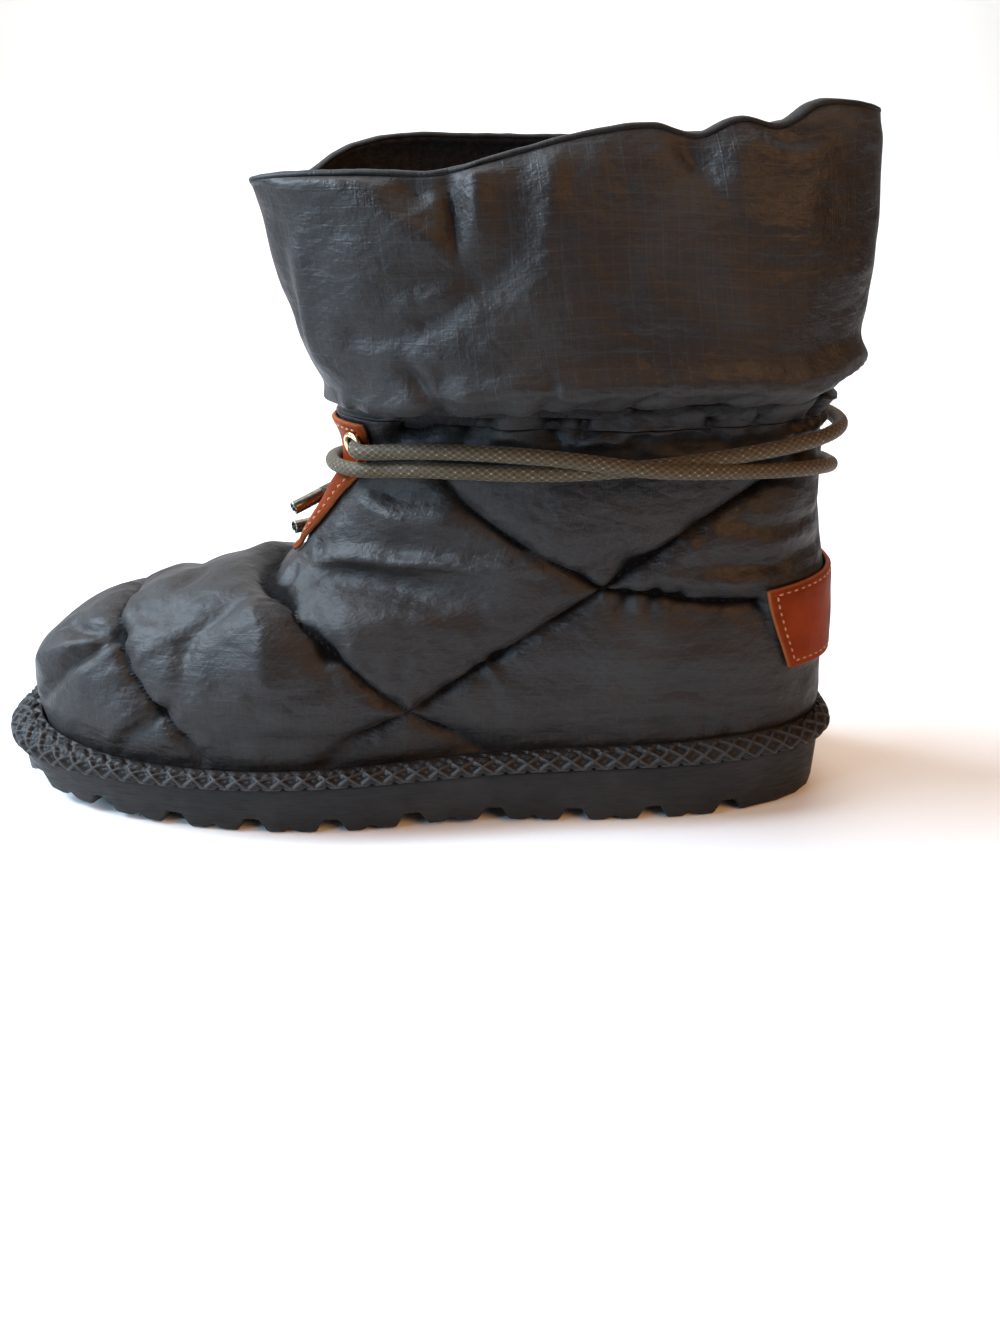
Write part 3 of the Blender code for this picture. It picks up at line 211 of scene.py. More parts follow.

# Listed folds: depth of a trough, or of a ridge where it is below 0, and its reach to each side,
# both in mm, then its places. The first table is the outer side of the foot and the ankle.
FOOT_FOLDS = (
    # toe cap
    (2.2, 3.8, ((5.3, 2.64), (4.8, 2.78), (4.6, 2.97))),
    (2.5, 2.6, ((5.0, 2.63), (4.1, 2.61), (3.5, 2.64), (2.6, 2.69), (1.6, 2.82))),
    (-1.0, 3.4, ((4.6, 2.70), (3.7, 2.78), (2.9, 2.90))),
    (1.2, 2.6, ((4.2, 2.62), (3.5, 2.67), (2.7, 2.77))),
    (2.4, 2.6, ((2.4, 2.20), (1.4, 2.29), (0.8, 2.38))),
    (-1.0, 2.8, ((1.9, 2.31), (1.2, 2.37), (0.8, 2.43))),
    # vamp
    (1.5, 3.8, ((6.6, 2.88), (6.2, 2.69), (6.0, 2.56))),
    (2.2, 4.5, ((7.9, 3.14), (7.5, 2.93), (6.9, 2.70), (6.3, 2.50))),
    (-1.6, 5.0, ((7.4, 2.90), (6.8, 2.62))),
    (-2.2, 7.0, ((8.6, 2.62), (6.3, 2.15), (3.9, 1.96))),
    (2.4, 5.0, ((8.3, 2.30), (6.6, 2.02), (4.6, 1.84))),
    (1.8, 4.4, ((7.6, 2.44), (5.6, 2.32), (3.4, 2.16))),
    (3.2, 4.6, ((9.3, 3.14), (9.2, 2.90), (8.8, 2.58), (8.2, 2.38))),
    (0.8, 3.4, ((3.2, 1.94), (3.4, 1.86), (3.6, 1.79))),
    (1.0, 4.2, ((1.3, 2.05), (1.3, 1.92), (1.2, 1.79))),
    # diamond beside the instep
    (-2.4, 3.0, (
        (9.9, 2.95), (10.1, 2.72), (10.6, 2.51), (10.7, 2.27), (10.9, 2.03), (10.8, 1.83), (11.0, 1.69),
    )),
    (2.4, 5.8, ((10.0, 2.50), (9.8, 2.20), (9.2, 1.91), (9.0, 1.72))),
    (1.8, 4.6, ((11.3, 2.45), (11.2, 2.24), (11.1, 2.04), (11.3, 1.80))),
    (1.5, 4.0, ((13.6, 2.63), (13.2, 2.37), (13.3, 2.17))),
    (-1.0, 3.4, ((12.9, 2.66), (12.5, 2.36), (12.5, 2.10))),
    (1.7, 2.2, ((10.2, 2.93), (10.0, 2.71))),
    (1.6, 2.4, ((11.2, 2.84), (10.3, 2.70))),
    (1.4, 2.2, ((9.8, 2.86), (9.3, 2.66))),
    (1.1, 2.6, ((5.1, 1.76), (4.2, 1.71))),
    (0.9, 2.4, ((5.4, 1.68), (3.9, 1.64))),
    # quarter and heel
    (2.2, 4.4, ((10.8, 1.12), (10.8, 0.97), (10.7, 0.84), (10.6, 0.66), (10.9, 0.50), (10.9, 0.20))),
    (-1.2, 4.0, ((10.0, 1.05), (9.9, 0.84), (9.8, 0.60))),
    (1.3, 3.4, ((12.6, 0.95), (12.3, 0.75), (12.3, 0.50), (12.4, 0.20))),
    (1.4, 3.8, ((10.6, 1.50), (11.1, 1.37), (11.4, 1.26))),
    (1.2, 2.2, ((8.9, 1.28), (7.8, 1.24))),
    (1.1, 2.0, ((8.6, 1.18), (7.7, 1.15))),
    (1.0, 2.0, ((9.7, 1.22), (9.0, 1.18))),
    (0.9, 2.0, ((9.4, 1.12), (8.8, 1.08))),
    (1.0, 2.2, ((1.6, 0.82), (0.8, 0.81))),
    (0.9, 2.0, ((1.4, 0.75), (0.7, 0.74))),
    (0.9, 5.0, ((1.4, 1.10), (1.5, 0.84), (1.5, 0.60), (1.5, 0.30))),
    (-0.9, 8.0, ((5.6, 1.20), (4.8, 0.95), (4.6, 0.60))),
    (0.8, 6.0, ((3.6, 1.35), (3.2, 1.05), (3.0, 0.75))),
    # gathers between the cord and the shaft
    (2.4, 2.6, ((17.0, 2.34), (15.4, 2.38))),
    (2.6, 3.4, ((17.0, 2.06), (15.5, 2.09))),
    (-2.0, 4.0, ((15.9, 2.75), (16.1, 2.43))),
    (-2.2, 3.8, ((16.2, 2.29), (16.2, 2.15))),
    (-2.6, 4.2, ((15.9, 2.03), (16.6, 1.94), (16.6, 1.86), (15.9, 1.79))),
    (2.0, 3.0, ((17.0, 1.74), (16.3, 1.70), (15.6, 1.72))),
    (-1.8, 2.6, ((16.0, 1.83), (16.3, 1.70), (16.4, 1.55))),
    (-2.0, 2.4, ((16.3, 1.62), (16.6, 1.55), (16.5, 1.49), (15.8, 1.29))),
    (-2.0, 2.6, ((16.6, 1.49), (17.0, 1.41), (16.8, 1.35), (16.9, 1.27))),
    (1.8, 2.6, ((16.9, 1.36), (16.0, 1.46))),
    (1.8, 3.0, ((16.2, 1.20), (16.0, 1.05), (16.0, 0.80))),
    (-1.6, 3.0, ((16.7, 1.16), (16.5, 0.98), (16.6, 0.80))),
    (1.6, 3.0, ((16.9, 0.66), (15.9, 0.60))),
    (-1.4, 3.2, ((16.5, 0.50), (15.8, 0.42))),
    (1.8, 3.0, ((16.8, 0.30), (15.6, 0.24))),
)

# The inner side isn't seen in the photo: its folds are of the same kind, laid in other places.
INNER_FOLDS = (
    (1.6, 3.2, ((5.0, 3.68), (4.0, 3.66), (3.0, 3.58), (1.8, 3.46))),
    (1.3, 4.0, ((4.2, 3.90), (3.0, 3.98), (1.6, 4.02))),
    (1.5, 5.0, ((7.6, 3.30), (7.0, 3.52), (6.4, 3.72))),
    (-1.6, 7.0, ((8.4, 3.60), (6.4, 4.10), (4.2, 4.30))),
    (3.0, 4.6, ((9.3, 3.14), (9.1, 3.44), (8.7, 3.72), (8.1, 3.92))),
    (-2.0, 3.4, ((10.1, 3.50), (10.5, 3.90), (10.7, 4.30), (10.5, 4.60))),
    (2.2, 5.4, ((9.8, 3.80), (9.5, 4.16), (9.2, 4.44))),
    (1.7, 4.4, ((11.8, 3.95), (11.6, 4.25), (11.9, 4.52))),
    (1.8, 4.4, ((10.9, 5.05), (10.6, 5.35), (10.8, 5.70), (10.9, 6.10))),
    (1.3, 3.6, ((12.6, 5.20), (12.3, 5.55), (12.4, 5.90))),
    (0.9, 6.0, ((3.6, 4.90), (3.2, 5.20), (3.0, 5.50))),
    (1.2, 2.2, ((9.0, 5.02), (8.0, 5.06))),
    (1.0, 2.2, ((9.6, 5.10), (9.0, 5.16))),
    (2.4, 3.0, ((17.0, 3.98), (15.4, 3.93))),
    (-2.0, 4.0, ((16.1, 3.70), (16.3, 3.86))),
    (2.2, 3.0, ((17.0, 4.34), (15.5, 4.30))),
    (-2.2, 4.0, ((16.4, 4.10), (16.5, 4.20))),
    (-2.0, 3.0, ((16.0, 4.44), (16.5, 4.58), (16.2, 4.76))),
    (2.0, 3.0, ((16.9, 4.82), (15.9, 4.90))),
    (-1.8, 3.0, ((16.4, 5.00), (16.6, 5.20))),
    (1.8, 3.0, ((16.9, 5.36), (15.9, 5.42))),
    (-1.6, 3.2, ((16.5, 5.58), (15.9, 5.74))),
    (1.8, 3.0, ((16.8, 5.94), (15.6, 6.00))),
)

SHAFT_FOLDS = (
    # the facet at the front of the collar
    (2.9, 2.6, ((25.0, 1.93), (24.2, 1.94), (23.4, 1.94), (22.5, 1.95))),
    (-1.7, 4.0, ((25.0, 1.84), (23.8, 1.86), (22.6, 1.87))),
    (2.8, 6.0, ((25.0, 2.06), (24.2, 2.05), (23.6, 2.02))),
    (-1.4, 4.4, ((24.7, 2.50), (23.7, 2.27), (23.0, 2.09), (22.4, 1.97))),
    # soft dents under it
    (2.4, 6.4, ((21.5, 2.20), (22.0, 1.97), (22.3, 1.82), (22.5, 1.66))),
    (2.2, 5.4, ((20.6, 2.41), (20.7, 2.17), (21.1, 2.04), (21.5, 1.93), (21.7, 1.82))),
    (-1.4, 4.2, ((21.3, 2.12), (21.7, 1.94))),
    (-1.2, 4.4, ((22.5, 2.63), (21.9, 2.64), (20.9, 2.69), (19.9, 2.72))),
    (1.4, 5.0, ((22.8, 2.76), (21.6, 2.82), (20.2, 2.90))),
    # collar's back half
    (2.0, 3.2, ((25.0, 0.95), (24.6, 0.87), (24.3, 0.78), (24.2, 0.66))),
    (1.8, 3.4, ((25.0, 1.24), (24.4, 1.21), (23.8, 1.16))),
    (-1.2, 3.8, ((24.8, 1.60), (23.5, 1.64), (22.5, 1.67))),
    (-1.4, 6.0, ((24.2, 1.05), (24.4, 0.60), (24.2, 0.30))),
    # above the ankle seam
    (2.8, 3.2, ((19.3, 0.20), (19.2, 0.42), (18.8, 0.60), (18.1, 0.70))),
    (-1.4, 4.0, ((20.0, 0.30), (19.7, 0.55), (19.2, 0.74))),
    (1.6, 3.4, ((17.4, 2.20), (18.6, 2.12), (19.6, 2.08))),
    (1.7, 3.2, ((17.4, 1.70), (18.4, 1.62), (19.2, 1.50))),
    (-1.2, 3.6, ((17.8, 1.86), (18.8, 1.80))),
    (1.7, 3.0, ((17.4, 1.30), (18.3, 1.24), (18.9, 1.12))),
    (1.5, 3.0, ((17.4, 1.02), (18.2, 0.94), (18.6, 0.84))),
    (1.5, 3.0, ((17.4, 2.58), (18.5, 2.52))),
    # inner side
    (2.4, 6.0, ((21.4, 4.20), (21.8, 4.50), (22.2, 4.86))),
    (2.0, 5.0, ((23.2, 3.98), (22.6, 4.24), (21.6, 4.44))),
    (-1.4, 5.0, ((24.6, 4.30), (23.6, 4.36), (22.6, 4.42))),
    (1.9, 3.4, ((25.0, 5.10), (24.2, 5.14), (23.4, 5.22))),
    (1.8, 4.4, ((19.4, 5.80), (19.1, 5.50), (18.6, 5.30))),
    (1.7, 3.2, ((17.4, 4.00), (18.6, 4.08), (19.4, 4.16))),
    (1.7, 3.2, ((17.4, 4.55), (18.5, 4.62), (19.2, 4.74))),
    (1.6, 3.0, ((17.4, 5.02), (18.4, 5.10), (19.0, 5.20))),
    (1.4, 5.0, ((22.6, 3.50), (21.4, 3.44), (20.2, 3.40))),
)

# The shaft's lower edge rolls over the gathered ankle, lower at the front than at the back
HEM_FOLDS = (
    (5.2, 2.6, (
        (16.3, 2.60), (16.4, 2.36), (17.1, 2.20), (17.8, 1.91), (17.9, 1.55), (18.1, 1.22),
        (18.0, 0.80), (18.5, 0.45), (18.6, 0.0),
    )),
    (-3.2, 4.2, (
        (18.4, 2.60), (18.6, 2.36), (18.9, 2.20), (19.3, 1.91), (19.3, 1.55), (19.5, 1.22),
        (19.4, 0.80), (19.8, 0.45), (19.8, 0.0),
    )),
    (5.0, 2.8, (
        (16.4, 3.60), (16.8, 3.90), (17.4, 4.20), (17.7, 4.60), (18.0, 5.00), (18.1, 5.50),
        (18.5, 5.90), (18.6, 6.28),
    )),
    (-3.0, 4.2, (
        (18.6, 3.60), (18.8, 3.90), (19.0, 4.20), (19.3, 4.60), (19.4, 5.00), (19.5, 5.50),
        (19.8, 5.90), (19.8, 6.28),
    )),
    # small folds across it
    (2.2, 2.4, ((17.9, 2.14), (18.9, 2.16), (19.8, 2.22))),
    (2.0, 2.2, ((18.0, 1.76), (18.8, 1.74), (19.4, 1.70))),
    (2.2, 2.0, ((18.0, 1.48), (18.8, 1.43), (19.3, 1.35))),
    (1.8, 2.0, ((18.1, 1.15), (18.9, 1.08), (19.3, 1.00))),
    (2.0, 2.2, ((17.8, 1.94), (17.0, 1.96), (16.2, 2.00))),
    (1.8, 1.8, ((17.8, 1.62), (17.2, 1.60), (16.6, 1.63))),
    (2.0, 2.0, ((17.9, 1.08), (17.2, 1.12), (16.4, 1.06))),
    (1.8, 2.0, ((18.0, 0.90), (17.4, 0.88), (16.6, 0.92))),
    (1.8, 2.2, ((18.1, 0.55), (17.3, 0.52), (16.2, 0.48))),
)

# Leather: the heel patch's levels and reach round the heel, and the instep panel's shape
PATCH_LEVELS = (3.75, 9.55)
PATCH_TURNS = (0.52, 0.76)
PATCH_DROP = 0.35
PANEL_WIDTH = 0.042
PANEL_LEVELS = (9.95, 16.75)
PANEL_SHAPE = (
    # share of the way up, half width as a share of half PANEL_WIDTH
    (0.00, 0.12),
    (0.20, 0.38),
    (0.43, 0.57),
    (0.66, 0.74),
    (1.00, 1.00),
)
LEATHER = 0.0016
LEATHER_ROUND = 0.0011
STITCH_INSET = 0.0021
STITCH_PITCH = 0.0030
STITCH_LENGTH = 0.0021
STITCH_WIDTH = 0.00062
STITCH_SUNK = 0.00005
STITCH_AHEAD = 0.0004
LEATHER_EDGE = 0.45
STITCH_GROOVE = (0.00022, 0.0007)
LEATHER_UNEVEN = (0.00018, 0.007)
EYELET_LEVEL = 15.75
EYELET_ASIDE = 0.76
EYELET_OUTER = 0.0088
EYELET_HOLE = 0.0052
EYELET_HEIGHT = 0.0014

# A stitch: places along it as shares of its length, with its half thickness there
CAPSULE_PROFILE = ((-0.5, 0.12), (-0.36, 0.40), (-0.12, 0.50), (0.12, 0.50), (0.36, 0.40), (0.5, 0.12))
CAPSULE_SIDES = 6

# The ankle cord. part counts half turns from the front: 1 is the back and 2 the front again.
STRAND_FROM_OUTER = (
    (0.30, 16.05), (0.48, 15.95), (0.58, 15.58), (0.69, 15.18), (0.86, 14.75), (1.00, 14.20),
    (1.40, 13.90), (1.80, 13.80),
)
STRAND_FROM_INNER = (
    (0.30, 16.10), (0.60, 16.30), (1.00, 16.50), (1.14, 16.34), (1.30, 15.98), (1.42, 15.58),
    (1.54, 15.22), (1.72, 15.00), (1.90, 14.30), (2.00, 13.95), (2.30, 13.80),
)
CROSSING_TURN = 1.32
CROSSING_REACH = 0.28
CROSSING_LIFT = 0.75
YARNS = 8
YARN_PITCH = 0.0026
STRAND_GAP = 0.0009
STRAND_POINTS = 140
PANEL_MARGIN = 0.16
KNOT_LEVEL = 13.75
KNOT_TURN = 3.80
KNOT_LENGTH = 0.0130
KNOT_THICKNESS = 0.0085
TIP_LENGTH = 0.0118
TIP_DIAMETER = 0.0044
END_ROUTES = {
    # level, turn, stand off the leather as a share of the cord's diameter
    "outer": ((12.10, 3.56, 0.12), (11.60, 3.40, 0.25), (10.70, 3.32, 0.90), (9.90, 3.27, 1.40)),
    "inner": (
        (11.30, 3.92, 0.05), (10.50, 3.76, 0.02), (10.15, 3.58, 0.00), (10.00, 3.42, 0.00),
        (9.95, 3.28, 0.00),
    ),
}
KNOT_WRAPS = {
    # shares of half the knot's length and thickness: along, up, outwards
    "outer": ((-0.62, -0.30, -0.20), (-0.36, 0.52, 0.10), (0.05, 0.46, 0.52), (0.30, -0.20, 0.50)),
    "inner": (
        (0.62, 0.30, -0.20), (0.40, -0.34, 0.05), (-0.02, -0.40, 0.34), (-0.36, 0.10, 0.42),
        (-0.40, 0.52, 0.00),
    ),
}

# The welt's outer side: shares of its overhang outwards and of its height upwards
WELT_OVERHANG = 0.0024
WELT_HEIGHT = 0.0074
WELT_GAP = 0.0007
WELT_PROFILE = ((0.00, 0.00), (0.80, 0.16), (1.00, 0.42), (0.55, 0.70))
CROWN_OUT = 0.45
CROWN_RISE = 0.04


def length_property(name, description, default):
    return FloatProperty(name=name, description=description, default=default, unit="LENGTH")


def color_property(name, description, default):
    return FloatVectorProperty(
        name=name, description=description, default=default, subtype="COLOR", size=3, min=0, max=1)


class BootSizes(bpy.types.PropertyGroup):
    """Driving sizes of the boot."""

    sole_length: length_property("Sole length", "Heel to toe, over the welt", 0.284)
    ball_width: length_property("Ball width", "Widest place of the forefoot", 0.104)
    waist_width: length_property("Waist width", "Width of the sole at the arch", 0.088)
    heel_width: length_property("Heel width", "Width of the sole at the heel", 0.078)
    ankle_height: length_property("Ankle height", "Height that the foot's sections are shares of", 0.112)
    shaft_height: length_property("Shaft height", "Height of the cuff over the ankle seam", 0.075)
    shaft_width: length_property("Shaft width", "Width of the cuff", 0.094)
    toe_swing: length_property("Toe swing", "How far the toe turns to the inner side", 0.007)
    foot_wall: length_property("Foot wall", "Thickness of the padding of the foot", 0.0062)
    shaft_wall: length_property("Shaft wall", "Thickness of the cuff", 0.0040)
    seam_depth: length_property("Seam depth", "How far a quilting seam sinks in", 0.0058)
    pucker: length_property("Pucker", "Height of the small folds across a seam", 0.0015)
    crumple: length_property("Crumple", "Height of the cloth's soft unevenness", 0.0012)
    fold_gain: FloatProperty(
        name="Fold gain", description="Factor on the depth of the folds laid by hand", default=1.35,
        min=0.0, max=3.0, subtype="FACTOR")
    cord_diameter: length_property("Cord diameter", "Thickness of the braided cord", 0.0045)
    ripstop_grid: length_property("Ripstop grid", "Distance between the cloth's thicker threads", 0.0042)


class BootColors(bpy.types.PropertyGroup):
    """Colours of the boot's materials."""

    nylon: color_property("Nylon", "Charcoal ripstop cloth", (0.0115, 0.0084, 0.0074))
    nylon_worn: color_property("Nylon, worn", "Lighter, dusty cloth", (0.021, 0.019, 0.018))
    nylon_sheen: color_property("Nylon sheen", "Light that grazes the cloth", (0.62, 0.66, 0.74))
    nylon_net: color_property("Nylon net", "The cloth's thicker threads", (0.060, 0.060, 0.062))
    dust: color_property("Dust", "Specks on the cloth", (0.12, 0.11, 0.10))
    tape: color_property("Tape", "Black binding tape", (0.004, 0.004, 0.004))
    leather: color_property("Leather", "Tan leather", (0.200, 0.027, 0.002))
    leather_edge: color_property("Leather edge", "Cut edge of the leather", (0.300, 0.085, 0.030))
    thread: color_property("Thread", "Light sewing thread", (0.520, 0.300, 0.170))
    seam_thread: color_property("Seam thread", "Quilting thread", (0.006, 0.006, 0.006))
    brass: color_property("Brass", "Eyelets", (0.800, 0.600, 0.330))
    gunmetal: color_property("Gunmetal", "Cord tips", (0.260, 0.245, 0.215))
    cord: color_property("Cord", "Olive grey braid", (0.072, 0.050, 0.024))
    cord_fleck: color_property("Cord fleck", "Light yarn in the braid", (0.400, 0.330, 0.210))
    rubber: color_property("Foam rubber", "Sole", (0.0105, 0.0092, 0.0088))
    welt: color_property("Welt rubber", "Ribbed welt", (0.0080, 0.0072, 0.0070))
    lining: color_property("Lining", "Fleece inside", (0.010, 0.009, 0.009))
    floor: color_property("Floor", "Studio floor", (0.900, 0.900, 0.900))


def sizes():
    return bpy.context.scene.boot_sizes


def colors():
    return bpy.context.scene.boot_colors


# Curves and the boot's surface


def cubic(low, high, leave, arrive, u):
    """Cubic between two values, where leave and arrive are its slopes over the whole step."""
    return (
        low * (1 + 2 * u) * (1 - u) ** 2
        + high * u * u * (3 - 2 * u)
        + leave * u * (1 - u) ** 2
        + arrive * u * u * (u - 1)
    )


def smooth_through(xs, ys, x):
    """Cubic curve through the points. ys holds the values in its last axis; x may be an array."""
    xs = np.asarray(xs, float)
    ys = np.asarray(ys, float)
    slopes = np.gradient(ys, xs, axis=-1)
    x = np.clip(x, xs[0], xs[-1])
    i = np.clip(np.searchsorted(xs, x, side="right") - 1, 0, len(xs) - 2)
    step = xs[i + 1] - xs[i]

    def at(values, index):
        return np.take(values, index, axis=-1)

    return cubic(
        at(ys, i), at(ys, i + 1), at(slopes, i) * step, at(slopes, i + 1) * step, (x - xs[i]) / step)


def soft_step(x):
    x = np.clip(x, 0.0, 1.0)
    return x * x * (3 - 2 * x)


def within(values, low, high, rise, fall):
    """0 up to low, 1 from low + rise to high - fall, and 0 again from high on."""
    return soft_step((values - low) / rise) * soft_step((high - values) / fall)


def unit(vectors):
    return vectors / np.linalg.norm(vectors, axis=-1, keepdims=True)


def distances(line):
    """How far along a line each of its points lies."""
    return np.concatenate([[0], np.cumsum(np.linalg.norm(np.diff(line, axis=0), axis=1))])


def spots_along(at, run, line):
    """Points at these distances along a line. run holds the distances of its own points."""
    return np.stack([np.interp(at, run, line[:, i]) for i in range(3)], -1)


def resampled(points, spacing):
    """The same smooth line with points at an even spacing."""
    points = np.asarray(points, float)
    run = distances(points)
    smooth = smooth_through(run, points.T, np.linspace(0, run[-1], 40 * len(points))).T
    travelled = distances(smooth)
    even = np.linspace(0, travelled[-1], max(2, round(travelled[-1] / spacing)) + 1)
    return spots_along(even, travelled, smooth)


def spaced_turns(count):
    """Turns right round a section, a little closer together at the sides than at heel and toe."""
    turn = np.arange(count) * 2 * math.pi / count
    return turn + SIDE_CLOSENESS * np.sin(2 * turn)


class Leg:
    """The boot's outer surface, worked out from its sizes and sections."""

    def __init__(self):
        self.size = size = sizes()
        rows = []
        halves = (size.heel_width / 2, size.waist_width / 2, size.ball_width / 2, size.ball_width / 2)
        for front, front_z, back, back_z, *rest in FOOT_SECTIONS:
            wide = [share * half for share, half in zip(rest[:4], halves)]
            heights = front_z * size.ankle_height, back_z * size.ankle_height
            rows.append([front, heights[0], back, heights[1], *wide, *rest[4:7], 0.0])
        seam_front, seam_back = rows[-1][1], rows[-1][3]
        for front, front_z, back, back_z, *rest in SHAFT_SECTIONS:
            wide = [share * size.shaft_width / 2 for share in rest[:4]]
            heights = seam_front + front_z * size.shaft_height, seam_back + back_z * size.shaft_height
            rows.append([front, heights[0], back, heights[1], *wide, *rest[4:6], 0.0, rest[6]])
        self.sections = np.array(rows)
        self.place = np.zeros(3)
        outline = self.sole_outline(np.linspace(0, 2 * math.pi, 721))
        low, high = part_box("welt")
        middle = (np.array(low[:2]) + np.array(high[:2])) / 2
        self.place[:2] = middle - (outline.min(0) + outline.max(0)) / 2

    def along_x(self, share):
        return (ORIGIN_SHARE - np.asarray(share)) * self.size.sole_length + self.place[0]

    def deck_height(self, share):
        table = np.array(DECK)
        return BALL_DECK + (HEEL_DECK - BALL_DECK) * smooth_through(table[:, 0], table[:, 1], share)

    def swing(self, share):
        forward = soft_step((np.asarray(share) - SWING_FROM) / (1 - SWING_FROM))
        return self.size.toe_swing * forward + self.place[1]

    def sole_outline(self, turn, out=0.0):
        """(x, y) of the sole's edge at these turns, moved outwards in plan by out."""
        size = self.size
        followed = {"heel": size.heel_width / 2, "waist": size.waist_width / 2, "ball": size.ball_width / 2}
        stations = np.array([row[0] for row in SOLE_STATIONS])
        ends = (2 * np.sqrt(stations * (1 - stations))) ** SOLE_ROUNDNESS
        outer = np.array([row[1] * followed[row[3]] for row in SOLE_STATIONS]) / ends
        inner = np.array([row[2] * followed[row[3]] for row in SOLE_STATIONS]) / ends

        def edge(a):
            share = (1 - np.cos(a)) / 2
            is_outer = np.sin(a) >= 0
            width = np.where(
                is_outer, smooth_through(stations, outer, share), smooth_through(stations, inner, share))
            half = width * np.abs(np.sin(a)) ** SOLE_ROUNDNESS
            return np.stack([self.along_x(share), self.swing(share) - np.where(is_outer, half, -half)], -1)

        turn = np.asarray(turn, float)
        along = unit(edge(turn + NORMAL_TURN / 2) - edge(turn - NORMAL_TURN / 2))
        return edge(turn) + np.stack([-along[..., 1], along[..., 0]], -1) * out

    def base(self, level, turn, inset=0.0):
        """Points of the full surface. inset makes each section smaller all round."""
        size = self.size
        level, turn = np.broadcast_arrays(np.asarray(level, float), np.asarray(turn, float))
        table = smooth_through(np.arange(len(self.sections)), self.sections.T, level)
        front, front_z, back, back_z = table[:4]
        front, back = front - inset / size.sole_length, back + inset / size.sole_length
        round_front, round_back, follow, skew = table[8:]
        along = (1 - np.cos(turn)) / 2
        share = back + (front - back) * along
        ends = np.where(along > 0.5, round_front, round_back)
        widths = []
        for i, station in enumerate(WIDTH_STATIONS):
            at_station = np.where(station > 0.5, round_front, round_back)
            widths.append((table[4 + i] - inset) / (2 * math.sqrt(station * (1 - station))) ** at_station)
        widths = np.stack(widths, -1)
        slopes = np.gradient(widths, WIDTH_STATIONS, axis=-1)
        clipped = np.clip(along, WIDTH_STATIONS[0], WIDTH_STATIONS[-1])
        i = np.clip(np.searchsorted(WIDTH_STATIONS, clipped, side="right") - 1, 0, len(WIDTH_STATIONS) - 2)
        step = WIDTH_STATIONS[i + 1] - WIDTH_STATIONS[i]

        def pick(values, index):
            return np.take_along_axis(values, index[..., None], -1)[..., 0]

        width = cubic(
            pick(widths, i), pick(widths, i + 1), pick(slopes, i) * step, pick(slopes, i + 1) * step,
            (clipped - WIDTH_STATIONS[i]) / step)
        sine = np.sin(turn)
        half = width * np.abs(sine) ** ends * np.sign(sine)
        x = self.along_x(share) + skew * np.maximum(-half, 0) * along ** 3
        y = self.swing(share) - half
        straight = back_z + (front_z - back_z) * along
        deck_back = self.deck_height(back)
        deck_line = deck_back + (self.deck_height(front) - deck_back) * along
        deck = self.deck_height(share)
        z = straight + follow * (deck - deck_line)
        bottom = np.clip(1 - level, 0, 1)
        z = z * (1 - bottom) + (deck + GAP) * bottom
        edge = np.array(COLLAR_EDGE)
        rise = np.where(
            sine >= 0,
            smooth_through(edge[:, 0], edge[:, 1], along),
            smooth_through(edge[:, 0], edge[:, 2], along),
        )
        z = z + rise * size.shaft_height * soft_step((level - TOP_LEVEL + COLLAR_REACH) / COLLAR_REACH)
        return np.stack([x, y, z], -1)

    def normal(self, level, turn):
        """Outward normals, flat at the sole, at the ankle seam and at the collar."""
        level, turn = np.broadcast_arrays(np.asarray(level, float), np.asarray(turn, float))
        low, high = np.clip(level - NORMAL_REACH, 0, TOP_LEVEL), np.clip(level + NORMAL_REACH, 0, TOP_LEVEL)
        up = self.base(high, turn) - self.base(low, turn)
        round_it = self.base(level, turn + NORMAL_TURN) - self.base(level, turn - NORMAL_TURN)
        edges = np.minimum(np.minimum(np.abs(level), np.abs(level - SEAM_LEVEL)), np.abs(level - TOP_LEVEL))
        flat = np.cross(np.array([0.0, 0.0, 1.0]), round_it)
        flat[..., 2] = 0
        part = np.clip(1 - edges / FLAT_REACH, 0, 1)[..., None]
        return unit(unit(np.cross(up, round_it)) * (1 - part) + unit(flat) * part)

    def point(self, level, turn, out=0.0):
        return self.base(level, turn) + self.normal(level, turn) * np.asarray(out)[..., None]

    def lining(self, level, turn, wall):
        moved_in = self.base(level, turn) - self.normal(level, turn) * np.asarray(wall)[..., None]
        upright = soft_step(np.asarray(level, float) - SEAM_LEVEL)[..., None]
        return moved_in * (1 - upright) + self.base(level, turn, wall) * upright

    def between(self, places, count):
        """Levels and turns of this many points on a smooth line through given places."""
        table = np.array(places, float)
        return smooth_through(np.linspace(0, 1, len(table)), table.T, np.linspace(0, 1, count))

    def line(self, places, count):
        return self.base(*self.between(places, count))

    def panel_turn(self, level, aside):
        """How far round from the front a place lies that is aside metres from the middle line."""
        table = smooth_through(np.arange(len(self.sections)), self.sections.T, level)
        toe = WIDTH_STATIONS[-1]
        width = table[7] / (2 * math.sqrt(toe * (1 - toe))) ** table[8]
        return np.arcsin(np.clip(np.abs(aside) / width, 0, 1) ** (1 / table[8])) * np.sign(aside)

    def panel_half(self, level):
        shape = np.array(PANEL_SHAPE)
        low, high = PANEL_LEVELS
        return smooth_through(shape[:, 0], shape[:, 1], (level - low) / (high - low)) * PANEL_WIDTH / 2

    def over_leather(self, level, turn):
        """1 where the instep panel lies under a place, falling to 0 beside it."""
        beside = np.abs((turn % (2 * math.pi)) - math.pi) - self.panel_turn(level, self.panel_half(level))
        return soft_step(1 - (beside - PANEL_MARGIN / 2) / PANEL_MARGIN)

